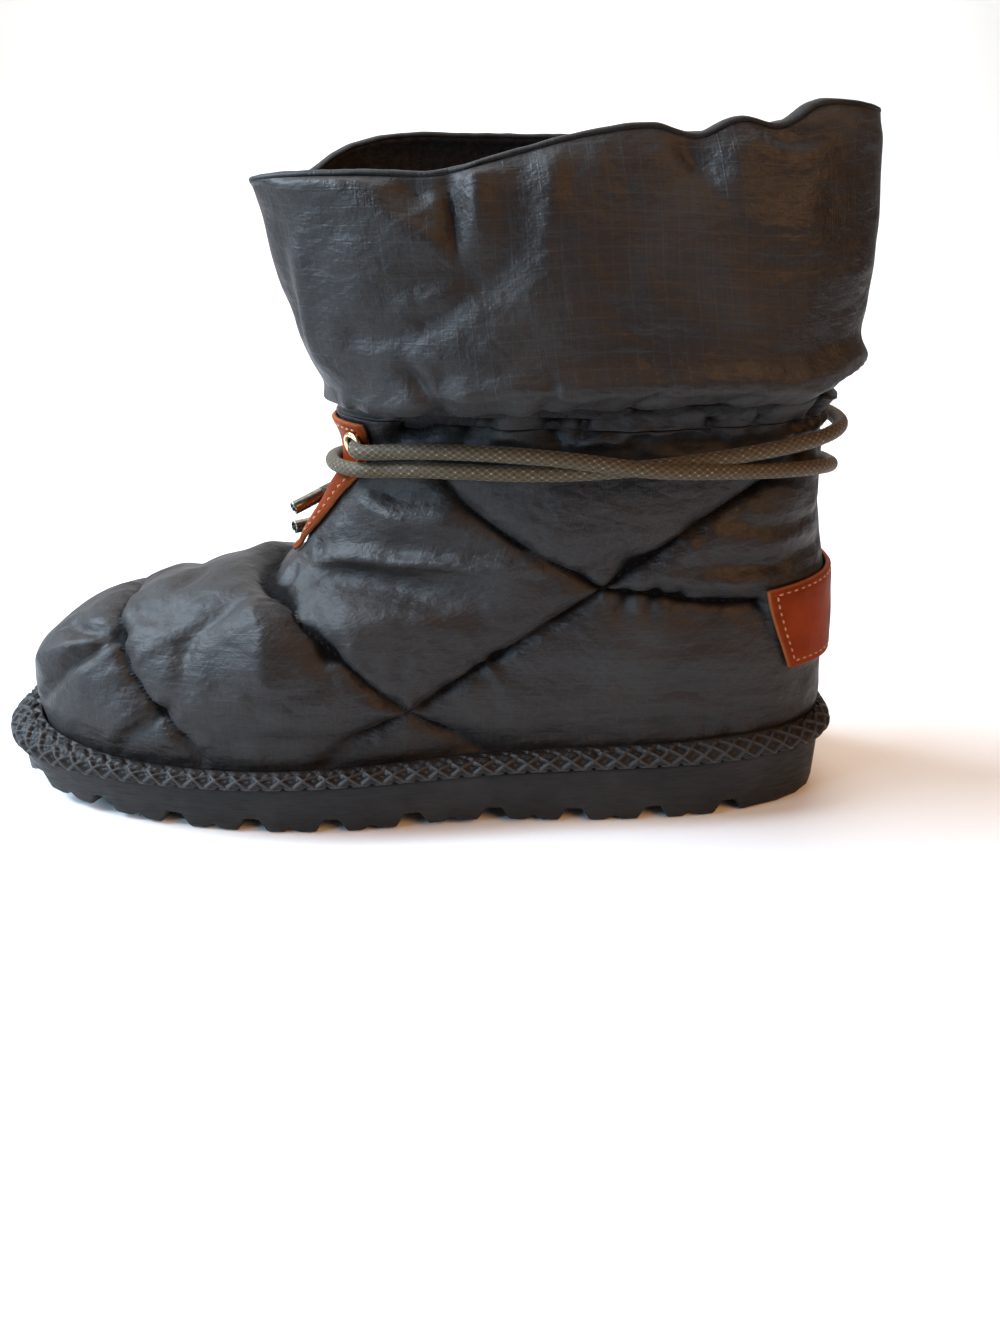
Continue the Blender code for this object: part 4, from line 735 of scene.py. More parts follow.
    def eyelet_frame(self, side):
        """Centre, outward normal and two directions in the panel at an eyelet."""
        level = np.array(EYELET_LEVEL)
        turn = math.pi + self.panel_turn(level, np.array(side * EYELET_ASIDE * PANEL_WIDTH / 2))
        centre = self.point(level, turn, OVERLAY_GAP + LEATHER + GAP)
        normal = self.normal(level, turn)
        across = unit(np.cross([0, 0, 1], normal))
        return centre, normal, across, np.cross(normal, across)

    def strand(self, rows, side, lift):
        """A strand of the ankle cord, from just past its eyelet to the knot."""
        diameter = self.size.cord_diameter
        past = EYELET_ASIDE * PANEL_WIDTH / 2 + EYELET_OUTER / 2 + diameter / 2
        first = self.panel_turn(np.array(EYELET_LEVEL), np.array(past)) / math.pi
        table = np.vstack([[first, EYELET_LEVEL], rows])
        part = np.linspace(first, table[-1, 0], STRAND_POINTS)
        level = smooth_through(table[:, 0], table[:, 1], part)
        turn = math.pi + side * part * math.pi
        out = diameter / 2 + STRAND_GAP + (LEATHER + OVERLAY_GAP) * self.over_leather(level, turn)
        crossing = np.exp(-(((turn % (2 * math.pi) - CROSSING_TURN) / CROSSING_REACH) ** 2))
        points = self.point(level, turn, out + lift * diameter * crossing)
        near_knot = np.linalg.norm(points - self.knot()[0], axis=1) < KNOT_LENGTH / 2 - diameter / 3
        return points[: np.argmax(near_knot)]

    def strands(self):
        """Both strands as they lie on the ankle, without the lift where they cross."""
        return [self.strand(STRAND_FROM_OUTER, -1, 0), self.strand(STRAND_FROM_INNER, 1, 0)]

    def knot(self):
        """The knot's centre and its three directions."""
        level, turn = np.array(KNOT_LEVEL), np.array(KNOT_TURN)
        centre = self.point(level, turn, OVERLAY_GAP + KNOT_THICKNESS / 2)
        normal = self.normal(level, turn)
        along = self.base(level, turn + NORMAL_TURN) - self.base(level, turn - NORMAL_TURN)
        along = unit(along - normal * (along @ normal))
        return centre, np.stack([along, np.cross(normal, along), normal])


def line_distance(points, line):
    """Distance of each point from a line, and how far along the line it lies."""
    nearest = np.full(len(points), np.inf)
    along = np.zeros(len(points))
    run = 0.0
    for start, end in zip(line[:-1], line[1:]):
        step = end - start
        length = np.linalg.norm(step)
        u = np.clip((points - start) @ step / length ** 2, 0, 1)
        away = np.linalg.norm(points - start - u[:, None] * step, axis=1)
        closer = away < nearest
        nearest[closer] = away[closer]
        along[closer] = run + u[closer] * length
        run += length
    return nearest, along, run


def mirrored(places):
    return tuple((level, 2 * math.pi - turn) for level, turn in places)


def all_seams():
    """The places of every seam, with those of its mirror image after them."""
    return [row for places in SEAMS.values() for row in (places, mirrored(places))]


def fold_relief(leg, points, folds):
    """Height over the full surface that the listed troughs and ridges give to the points."""
    height = np.zeros(len(points))
    for depth, reach, places in folds:
        line = leg.line(places, FOLD_POINTS)
        reach = reach / 1000
        near = np.linalg.norm(points - line.mean(0), axis=1)
        close = near < np.linalg.norm(line - line.mean(0), axis=1).max() + 3 * reach
        if not close.any():
            continue
        away, along, run = line_distance(points[close], line)
        part = FOLD_END + (1 - 2 * FOLD_END) * along / run
        fade = np.sin(np.pi * np.clip(part, 0, 1)) ** FOLD_END_SHAPE
        profile = np.exp(-((away / reach) ** FOLD_STEEPNESS))
        height[close] -= leg.size.fold_gain * depth / 1000 * profile * fade
    return height


def wave(points, size, seed):
    """Smooth unevenness from -1 to 1 at each point, with bumps of about this size."""
    offset = Vector((seed * 7.3, seed * 3.1, seed * 5.7))
    return np.array([noise.noise(Vector(p) / size + offset) for p in points])


def seam_relief(leg, points):
    """Height that the quilting gives: sharp seams, puffs between them and puckers across them."""
    size = leg.size
    height = np.zeros(len(points))
    nearest = np.full(len(points), 1.0)
    for seed, places in enumerate(all_seams()):
        away, along, run = line_distance(points, leg.line(places, SEAM_POINTS))
        nearest = np.minimum(nearest, away)
        close = away < 5 * SEAM_REACH
        s, d = along[close], away[close]
        spots = np.stack([s, d * PUCKER_LONG, np.full(len(s), seed * 0.03)], -1)
        pucker = PUCKER_CREST - np.abs(wave(spots, PUCKER_SIZE, seed)) * PUCKER_FALL
        pucker = pucker + FINE_PUCKERS * wave(spots, FINE_PUCKER_SIZE, seed + 40)
        uneven = PUCKER_LEAST + soft_step(0.5 + wave(spots, PUCKER_CHANGE, seed + 80))
        near = np.exp(-d / PUCKER_REACH) * soft_step(d / SEAM_BARE)
        height[close] += size.pucker * pucker * uneven * near
    dip, crease = np.exp(-(nearest / SEAM_REACH)), np.exp(-(nearest / SEAM_SHARP))
    height -= size.seam_depth * (0.5 * dip + 0.5 * crease)
    return height


def cloth_relief(leg, level, points):
    """Height over the full surface of the whole leg's cloth, before leather and cord press on it."""
    height = fold_relief(leg, points, FOOT_FOLDS + INNER_FOLDS + SHAFT_FOLDS + HEM_FOLDS)
    height += seam_relief(leg, points)
    height -= NECK_DEPTH * within(level, *NECK_LEVELS, NECK_EDGE, NECK_EDGE)
    crumple = wave(points, CRUMPLE_SIZE, 3) + FINE_CRUMPLES * wave(points, FINE_CRUMPLE_SIZE, 4)
    return height + leg.size.crumple * crumple


def covered(leg, level, turn, points):
    """0 where the cloth is free, to 1 under leather and cord."""
    turn = turn % (2 * math.pi)
    (low, high), (below, above, edge) = PANEL_LEVELS, PANEL_FREE
    panel = leg.over_leather(np.clip(level, low, high), turn)
    panel = panel * within(level, low - below, high + above, edge, edge)
    round_heel = np.minimum(turn, 2 * math.pi - turn)
    (low, high), (below, above, edge) = PATCH_LEVELS, PATCH_FREE
    share = np.clip((level - low) / (high - low), 0, 1)
    reach = PATCH_TURNS[0] + (PATCH_TURNS[1] - PATCH_TURNS[0]) * share
    patch = soft_step((reach + PATCH_FREE_TURN - round_heel) / PATCH_EDGE_TURN)
    patch = patch * within(level, low - below, high + above, edge, edge)
    cover = np.maximum(panel, patch)
    for strand in leg.strands():
        away = line_distance(points, strand[::3])[0] - leg.size.cord_diameter / 2
        cover = np.maximum(cover, np.exp(-((np.maximum(away, 0) / CORD_PRESS_REACH) ** 2)))
    return cover


def folded_cloth(leg, level, turn, press, fade):
    """The outer face of the cloth over a grid of places, the smooth surface under it and the height of
    the folds. press is how far leather and cord press it in, and fade takes the folds off at an edge."""
    shape = level.shape + (3,)
    level, turn = level.ravel(), turn.ravel()
    base = leg.base(level, turn)
    cover = covered(leg, level, turn, base)
    height = cloth_relief(leg, level, base) * (1 - cover) - press * cover
    height = np.clip(height, *FOLD_LIMITS) * fade(level)
    outside = base + leg.normal(level, turn) * height[:, None]
    return outside.reshape(shape), base.reshape(shape), height


# Meshes


def linked(name, data):
    made = bpy.data.objects.new(name, data)
    bpy.context.scene.collection.objects.link(made)
    return made


def grid_object(name, points, uv, closed_up=False):
    """An object from a grid of points (rows, columns, 3) that closes round, with a UV map in metres. uv
    has one more column than the points. With closed_up, the last row is joined to the first."""
    rows, columns = points.shape[:2]
    if closed_up:
        uv = np.concatenate([uv, uv[:1]], 0)
    r = np.arange(rows if closed_up else rows - 1)
    r, c = [a.ravel() for a in np.meshgrid(r, np.arange(columns), indexing="ij")]
    r2, c2 = (r + 1) % rows, (c + 1) % columns
    faces = np.stack([r * columns + c, r * columns + c2, r2 * columns + c2, r2 * columns + c], -1)
    mesh = bpy.data.meshes.new(name)
    mesh.vertices.add(rows * columns)
    mesh.vertices.foreach_set("co", points.reshape(-1))
    mesh.loops.add(len(faces) * 4)
    mesh.loops.foreach_set("vertex_index", faces.ravel())
    mesh.polygons.add(len(faces))
    mesh.polygons.foreach_set("loop_start", np.arange(len(faces)) * 4)
    mesh.update(calc_edges=True)
    layer = mesh.uv_layers.new(name="cloth")
    corners = np.stack([uv[r, c], uv[r, c + 1], uv[r + 1, c + 1], uv[r + 1, c]], 1)
    layer.data.foreach_set("uv", corners.ravel())
    mesh.polygons.foreach_set("use_smooth", np.ones(len(faces), bool))
    return linked(name, mesh)


def smooth_object(name, points, faces, finish):
    """A smooth closed object from its points and faces."""
    mesh = bpy.data.meshes.new(name)
    mesh.from_pydata([tuple(map(float, p)) for p in points], [], faces)
    made = linked(name, mesh)
    face_outwards(made)
    mesh.shade_smooth()
    mesh.materials.append(finish)
    return made


def face_outwards(made):
    work = bmesh.new()
    work.from_mesh(made.data)
    bmesh.ops.recalc_face_normals(work, faces=work.faces)
    work.to_mesh(made.data)
    work.free()


def point_values(made, name, values):
    """Keeps a value for each point of the mesh, which its material reads."""
    layer = made.data.attributes.new(name, "FLOAT", "POINT")
    layer.data.foreach_set("value", values.astype(np.float32))


def metric_uv(points):
    """UV in metres over a grid that closes round: distance along its rows and up its columns."""
    around = np.concatenate([points, points[:, :1]], 1)
    u = np.cumsum(np.linalg.norm(np.diff(around, axis=1, prepend=around[:, :1]), axis=2), 1)
    v = np.cumsum(np.linalg.norm(np.diff(around, axis=0, prepend=around[:1]), axis=2), 0)
    quarter = u.shape[1] // 4
    return np.stack([u - u[:, quarter:quarter + 1], v], -1)


def wall_object(name, outside, inside, smooth, height, outer_material, inner_material):
    """A closed wall from its outer and inner grids of points, both bottom row first. The cloth's UV
    follows the outer grid without its folds, and height is how far the folds stand out from it."""
    points = np.concatenate([outside, inside[::-1]], 0)
    uv = np.concatenate([metric_uv(smooth), metric_uv(inside)[::-1]], 0)
    made = grid_object(name, points, uv, closed_up=True)
    made.data.materials.append(outer_material)
    made.data.materials.append(inner_material)
    index = np.zeros(len(made.data.polygons), int)
    index[(len(outside) - 1) * outside.shape[1]:] = 1
    made.data.polygons.foreach_set("material_index", index)
    # Painted shade: 0 to 1 as the outer cloth lies deeper down in a seam, a fold or under the shaft's hem;
    # the cloth's material darkens it there.
    deep = np.zeros(len(points) * points.shape[1])
    deep[: height.size] = soft_step((-height - PAINTED_SHADE_FROM) / (PAINTED_SHADE_TO - PAINTED_SHADE_FROM))
    point_values(made, "deep", deep)
    face_outwards(made)
    return made


def tube_object(name, line, radius, around, relief):
    """A round cord along a line, closed at both ends, with UV round it and along it. relief gives the
    braid's height as a share of the radius."""
    along = unit(np.gradient(line, axis=0))
    side = unit(np.cross(along[0], [0.3, 0.1, 1.0]))
    angles = np.arange(around) * 2 * math.pi / around
    run = distances(line)
    rings = []
    for centre, axis, travelled in zip(line, along, run):
        side = unit(side - axis * (side @ axis))
        other = np.cross(axis, side)
        thick = (radius * (1 + relief(angles, travelled)))[:, None]
        rings.append(centre + thick * (np.cos(angles)[:, None] * side + np.sin(angles)[:, None] * other))
    u, v = np.meshgrid(np.linspace(0, 1, around + 1), run, indexing="xy")
    made = grid_object(name, np.array(rings), np.stack([u, v], -1))
    work = bmesh.new()
    work.from_mesh(made.data)
    work.verts.ensure_lookup_table()
    ends = [[work.verts[first + i] for i in range(around)] for first in (0, (len(line) - 1) * around)]
    for ring in ends:
        middle = work.verts.new(sum((v.co for v in ring), Vector()) / around)
        for i in range(around):
            work.faces.new((ring[i], ring[(i + 1) % around], middle)).smooth = True
    bmesh.ops.recalc_face_normals(work, faces=work.faces)
    work.to_mesh(made.data)
    work.free()
    return made


def capsules(name, centres, along, normals, length, width, finish):
    """Short rounded stitches, joined in one mesh."""
    sides = CAPSULE_SIDES
    angles = np.arange(sides) * 2 * math.pi / sides
    points, faces = [], []
    for centre, axis, normal in zip(centres, along, normals):
        side = unit(np.cross(axis, normal))
        first = len(points)
        for at, thick in CAPSULE_PROFILE:
            sag = -1.1 * width * (2 * at) ** 2
            for a in angles:
                points.append(
                    centre + axis * at * length + normal * (sag + thick * width * math.sin(a))
                    + side * thick * width * math.cos(a))
        for i in range(len(CAPSULE_PROFILE) - 1):
            for j in range(sides):
                a, b = first + i * sides + j, first + i * sides + (j + 1) % sides
                faces.append((a, b, b + sides, a + sides))
        last = len(points) - sides
        faces.append(tuple(range(first, first + sides)))
        faces.append(tuple(range(last, last + sides)))
    return smooth_object(name, points, faces, finish)


def deselect():
    for chosen in list(bpy.context.selected_objects):
        chosen.select_set(False)


def primitive(add, name, **values):
    """A primitive added on its own, named and left active."""
    deselect()
    add(**values)
    made = bpy.context.active_object
    made.name = name
    made.data.name = name
    return made


def round_edges(made, width, segments, angle):
    """Bevels the edges of the active piece that are sharper than angle, in degrees."""
    bevel = made.modifiers.new("round", "BEVEL")
    bevel.width = width
    bevel.segments = segments
    bevel.limit_method = "ANGLE"
    bevel.angle_limit = math.radians(angle)
    bpy.ops.object.modifier_apply(modifier=bevel.name)


def placed(made, centre, x_axis, y_axis, z_axis):
    """Moves a piece modelled at the origin to its place, in its mesh."""
    turn = Matrix((x_axis, y_axis, z_axis)).transposed().to_4x4()
    made.data.transform(Matrix.Translation(Vector(centre)) @ turn @ made.matrix_basis)
    made.matrix_basis = Matrix()


def finish_piece(made, slot, *nodes):
    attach(made, BODY)
    if nodes:
        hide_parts(*nodes)
    return made


# Materials


class Shader:
    """Builds a node material from the texture end to the shader."""

    def __init__(self, name, color, roughness, metallic=0.0, **values):
        self.material = bpy.data.materials.new(name)
        self.material.use_nodes = True
        self.tree = self.material.node_tree
        self.shader = self.tree.nodes["Principled BSDF"]
        self.shader.inputs["Base Color"].default_value = (*color, 1.0)
        self.shader.inputs["Roughness"].default_value = roughness
        self.shader.inputs["Metallic"].default_value = metallic
        for key, value in values.items():
            self.shader.inputs[key.replace("_", " ")].default_value = value

    def node(self, kind, settings=None, **inputs):
        made = self.tree.nodes.new(kind)
        for key, value in (settings or {}).items():
            setattr(made, key, value)
        for key, value in inputs.items():
            socket = made.inputs[int(key[1:])] if key[0] == "i" and key[1:].isdigit() else made.inputs[key]
            if isinstance(value, bpy.types.NodeSocket):
                self.tree.links.new(value, socket)
            else:
                socket.default_value = value
        return made

    def object_place(self):
        return self.node("ShaderNodeTexCoord").outputs["Object"]

    def uv(self):
        return self.node("ShaderNodeUVMap", {"uv_map": "cloth"}).outputs["UV"]

    def scaled(self, vector, scale):
        return self.node("ShaderNodeMapping", Vector=vector, Scale=scale).outputs["Vector"]

    def stored(self, name):
        """A value kept with the mesh's points."""
        return self.node("ShaderNodeAttribute", {"attribute_name": name}).outputs["Fac"]

    def noise(self, vector, scale, detail=3.0, roughness=0.5):
        made = self.node(
            "ShaderNodeTexNoise", Vector=vector, Scale=scale, Detail=detail, Roughness=roughness)
        return made.outputs["Fac"]

    def math(self, operation, a, b=0.0):
        return self.node("ShaderNodeMath", {"operation": operation}, i0=a, i1=b).outputs[0]

    def ramp(self, value, low, high, to_low=0.0, to_high=1.0):
        made = self.node("ShaderNodeMapRange", {"interpolation_type": "SMOOTHSTEP"}, Value=value)
        limits = {"From Min": low, "From Max": high, "To Min": to_low, "To Max": to_high}
        for name, limit in limits.items():
            made.inputs[name].default_value = limit
        return made.outputs["Result"]

    def mix(self, factor, first, second):
        made = self.node("ShaderNodeMix", {"data_type": "RGBA"})
        for name, value in (("Factor", factor), ("A", first), ("B", second)):
            socket = [s for s in made.inputs if s.name == name and s.enabled][0]
            if isinstance(value, bpy.types.NodeSocket):
                self.tree.links.new(value, socket)
            else:
                socket.default_value = value if name == "Factor" else (*value, 1.0)
        return [s for s in made.outputs if s.enabled][0]

    def bump(self, height, distance, strength=1.0, after=None):
        made = self.node("ShaderNodeBump", Height=height, Distance=distance, Strength=strength)
        if after is not None:
            self.tree.links.new(after, made.inputs["Normal"])
        return made.outputs["Normal"]

    def use(self, **sockets):
        for key, value in sockets.items():
            self.tree.links.new(value, self.shader.inputs[key.replace("_", " ")])
        return self.material


def times(color, factor):
    return tuple(value * factor for value in color)


def once(make):
    """Keeps a material function from making its material twice."""
    def found():
        name = "boot_" + make.__name__
        return bpy.data.materials.get(name) or make(name)
    return found


@once
def ripstop_nylon(name):
    color = colors()
    s = Shader(name, color.nylon, 0.5, Sheen_Weight=0.05, Sheen_Roughness=0.4, Specular_IOR_Level=0.42)
    s.shader.inputs["Sheen Tint"].default_value = (*color.nylon_sheen, 1.0)
    uv = s.uv()
    place = s.object_place()
    parts = s.node("ShaderNodeSeparateXYZ", Vector=uv)
    grid = sizes().ripstop_grid
    lines = []
    for axis in (0, 1):
        from_line = s.math("PINGPONG", parts.outputs[axis], grid / 2)
        lines.append(s.ramp(from_line, 0.0, 0.00032, 1.0, 0.0))
    net = s.math("MAXIMUM", *lines)
    warp = s.noise(s.scaled(uv, (2600, 90, 1)), 1.0, 2.0)
    weft = s.noise(s.scaled(uv, (90, 2600, 1)), 1.0, 2.0)
    threads = s.math("ADD", warp, weft)
    patches = s.noise(place, 26.0, 3.0)
    worn = s.ramp(s.math("ADD", patches, s.math("MULTIPLY", threads, 0.35)), 0.78, 1.06)
    shade = s.mix(worn, color.nylon, color.nylon_worn)
    speck = s.ramp(s.noise(place, 900.0, 2.0), 0.70, 0.78)
    shade = s.mix(s.math("MULTIPLY", speck, 0.18), shade, color.dust)
    shade = s.mix(s.math("MULTIPLY", net, 0.10), shade, color.nylon_net)
    # Painted shade: where the cloth lies deep in a seam, a fold or under the shaft's hem, its colour is
    # darkened and its gloss is dimmed.
    deep = s.stored("deep")
    shade = s.mix(deep, shade, times(color.nylon, 0.15))
    gloss = s.ramp(deep, 0.0, 1.0, 0.31, 0.03)
    rough = s.ramp(s.math("ADD", patches, s.math("MULTIPLY", threads, 0.4)), 0.55, 1.2, 0.43, 0.62)
    crinkle = s.noise(s.scaled(place, (1.0, 1.0, 1.6)), 95.0, 5.0, 0.55)
    creased = s.noise(s.scaled(place, (1.0, 1.0, 2.0)), 34.0, 2.5, 0.5)
    valley = s.math("ABSOLUTE", s.math("SUBTRACT", creased, 0.5))
    crushed = s.bump(s.math("MINIMUM", valley, 0.10), 0.010, 0.26)
    soft = s.bump(crinkle, 0.0022, 0.75, crushed)
    woven = s.bump(threads, 0.00016, 0.45, soft)
    ribbed = s.bump(net, 0.00006, 0.5, woven)
    return s.use(Base_Color=shade, Roughness=rough, Specular_IOR_Level=gloss, Normal=ribbed)


@once
def fleece(name):
    color = colors()
    s = Shader(name, color.lining, 0.9, Sheen_Weight=0.05, Specular_IOR_Level=0.15)
    place = s.object_place()
    curl = s.noise(place, 420.0, 4.0, 0.7)
    shade = s.mix(s.ramp(curl, 0.35, 0.7), color.lining, times(color.lining, 2.2))
    return s.use(Base_Color=shade, Normal=s.bump(curl, 0.0012, 0.9))


@once
def binding_tape(name):
    color = colors()
    s = Shader(name, color.tape, 0.55, Specular_IOR_Level=0.25)
    ribs = s.noise(s.scaled(s.uv(), (1500, 200, 1)), 1.0, 2.0)
    shade = s.mix(s.ramp(ribs, 0.4, 0.7), color.tape, times(color.tape, 2.4))
    return s.use(Base_Color=shade, Normal=s.bump(ribs, 0.0003, 0.7))


@once
def tan_leather(name):
    color = colors()
    s = Shader(name, color.leather, 0.6, Specular_IOR_Level=0.035)
    place = s.object_place()
    cloud = s.noise(place, 60.0, 4.0)
    shade = s.mix(s.ramp(cloud, 0.35, 0.72), color.leather, times(color.leather, 0.62))
    pores = s.node("ShaderNodeTexVoronoi", {"feature": "DISTANCE_TO_EDGE"}, Vector=place, Scale=1500.0)
    grain = s.ramp(pores.outputs["Distance"], 0.0, 0.16)
    shade = s.mix(s.stored("edge"), shade, color.leather_edge)
    rough = s.ramp(cloud, 0.3, 0.8, 0.40, 0.58)
    soft = s.bump(s.noise(place, 260.0, 3.0), 0.0004, 0.5)
    return s.use(Base_Color=shade, Roughness=rough, Normal=s.bump(grain, 0.00012, 0.5, soft))


def plain_thread(name, color):
    s = Shader(name, color, 0.8, Specular_IOR_Level=0.12)
    twist = s.noise(s.object_place(), 2600.0, 2.0)
    shade = s.mix(s.ramp(twist, 0.35, 0.7), times(color, 0.6), color)
    return s.use(Base_Color=shade, Normal=s.bump(twist, 0.0001, 0.6))


@once
def light_thread(name):
    return plain_thread(name, colors().thread)


@once
def quilting_thread(name):
    return plain_thread(name, colors().seam_thread)


@once
def rolled_brass(name):
    s = Shader(name, colors().brass, 0.24, 1.0)
    rub = s.noise(s.object_place(), 900.0, 3.0)
    return s.use(Roughness=s.ramp(rub, 0.3, 0.8, 0.16, 0.40), Normal=s.bump(rub, 0.00006, 0.4))


@once
def turned_gunmetal(name):
    color = colors().gunmetal
    s = Shader(name, color, 0.26, 1.0)
    rub = s.noise(s.scaled(s.object_place(), (1.0, 1.0, 3.0)), 700.0, 3.0)
    shade = s.mix(s.ramp(rub, 0.35, 0.7), color, times(color, 0.7))
    return s.use(Base_Color=shade, Roughness=s.ramp(rub, 0.3, 0.8, 0.18, 0.36))


@once
def braided_cord(name):
    color = colors()
    s = Shader(name, color.cord, 0.62, Sheen_Weight=0.08, Specular_IOR_Level=0.25)
    uv = s.uv()
    parts = s.node("ShaderNodeSeparateXYZ", Vector=uv)
    around = s.math("MULTIPLY", parts.outputs[0], YARNS)
    along = s.math("MULTIPLY", parts.outputs[1], 1 / YARN_PITCH)
    left = s.math("PINGPONG", s.math("ADD", around, along), 0.5)
    right = s.math("PINGPONG", s.math("SUBTRACT", around, along), 0.5)
    weave = s.math("MAXIMUM", left, right)
    fleck_at = s.ramp(s.math("MINIMUM", left, right), 0.28, 0.46)
    uneven = s.ramp(s.noise(s.scaled(uv, (9, 420, 1)), 1.0, 2.0), 0.42, 0.66)
    fleck = s.math("MULTIPLY", fleck_at, uneven)
    shade = s.mix(s.ramp(weave, 0.1, 0.45), times(color.cord, 0.45), color.cord)
    shade = s.mix(s.math("MULTIPLY", fleck, 0.75), shade, color.cord_fleck)
    fibre = s.noise(s.object_place(), 2400.0, 2.0)
    soft = s.bump(fibre, 0.00012, 0.5)
    return s.use(Base_Color=shade, Normal=s.bump(weave, 0.0003, 0.8, soft))


@once
def foam_rubber(name):
    color = colors()
    s = Shader(name, color.rubber, 0.55, Specular_IOR_Level=0.20)
    place = s.object_place()
    cloud = s.noise(place, 45.0, 4.0)
    shade = s.mix(s.ramp(cloud, 0.4, 0.75), color.rubber, times(color.rubber, 1.9))
    skin = s.noise(place, 1400.0, 3.0)
    scuff = s.noise(s.scaled(place, (1.0, 1.0, 9.0)), 160.0, 4.0)
    rough = s.ramp(scuff, 0.3, 0.8, 0.48, 0.74)
    soft = s.bump(scuff, 0.0003, 0.3)
    return s.use(Base_Color=shade, Roughness=rough, Normal=s.bump(skin, 0.00012, 0.6, soft))


@once
def welt_rubber(name):
    color = colors()
    s = Shader(name, color.welt, 0.46, Specular_IOR_Level=0.20)
    place = s.object_place()
    dust = s.noise(place, 70.0, 4.0)
    shade = s.mix(s.ramp(dust, 0.4, 0.7), color.welt, times(color.welt, 1.7))
    # Painted highlight: the raised ribs are painted lighter towards their crests, as if lit, while the
    # rubber between them keeps its dark colour.
    shade = s.mix(s.math("MULTIPLY", s.stored("rib"), 0.9), shade, times(color.welt, 4.6))
    skin = s.noise(place, 1500.0, 3.0)
    rough = s.ramp(dust, 0.3, 0.8, 0.44, 0.66)
    return s.use(Base_Color=shade, Roughness=rough, Normal=s.bump(skin, 0.0001, 0.6))


@once
def pale_floor(name):
    color = colors().floor
    s = Shader(name, color, 0.55, Specular_IOR_Level=0.25)
    cloud = s.noise(s.object_place(), 3.0, 3.0)
    return s.use(Base_Color=s.mix(cloud, color, tuple(min(v * 1.02, 1) for v in color)))


# Operators: one for each piece or group of like pieces


class BOOT_OT_upper(bpy.types.Operator):
    """Quilted foot and ankle with its seams, puffs and folds"""

    bl_idname = "boot.upper"
    bl_label = "Quilted upper"
    around = 500
    rows = 158
    lining_rows = 18
    # folds grow over these levels above the sole, and thread starts above this one
    sole_fade = 1.4
    thread_from = 1.1
    thread_depth = 0.93

    def execute(self, context):
        leg = Leg()
        turns = spaced_turns(self.around)
        places = np.meshgrid(np.linspace(0, SEAM_LEVEL, self.rows), turns, indexing="ij")
        outside, base, height = folded_cloth(
            leg, *places, PRESSED_IN, lambda above: soft_step(above / self.sole_fade))
        places = np.meshgrid(np.linspace(0, SEAM_LEVEL, self.lining_rows), turns, indexing="ij")
        inside = leg.lining(*places, leg.size.foot_wall)
        made = wall_object("quilted_upper", outside, inside, base, height, ripstop_nylon(), fleece())
        finish_piece(made, "nylon", "upper")
        self.stitch_seams(leg)
        return {"FINISHED"}

    def stitch_seams(self, leg):
        """Thread in the bottom of each quilting seam."""
        centres, along, normals = [], [], []
        deep = leg.size.seam_depth * self.thread_depth + 0.0001
        for places in all_seams():
            levels, turns = leg.between(places, 400)
            travelled = distances(leg.base(levels, turns))

            def there(at):
                return np.interp(at, travelled, levels), np.interp(at, travelled, turns)

            at = np.arange(SEAM_STITCH, travelled[-1] - SEAM_STITCH, SEAM_STITCH)
            level, turn = there(at)
            spot = leg.base(level, turn)
            keep = (covered(leg, level, turn, spot) < 0.05) & (level > self.thread_from)
            step = unit(leg.base(*there(at + 0.001)) - spot)
            normal = leg.normal(level, turn)
            centres += list((spot - normal * deep)[keep])
            along += list(step[keep])
            normals += list(normal[keep])
        made = capsules(
            "seam_stitches", centres, along, normals, SEAM_STITCH * 0.72, SEAM_THREAD, quilting_thread())
        finish_piece(made, "nylon")


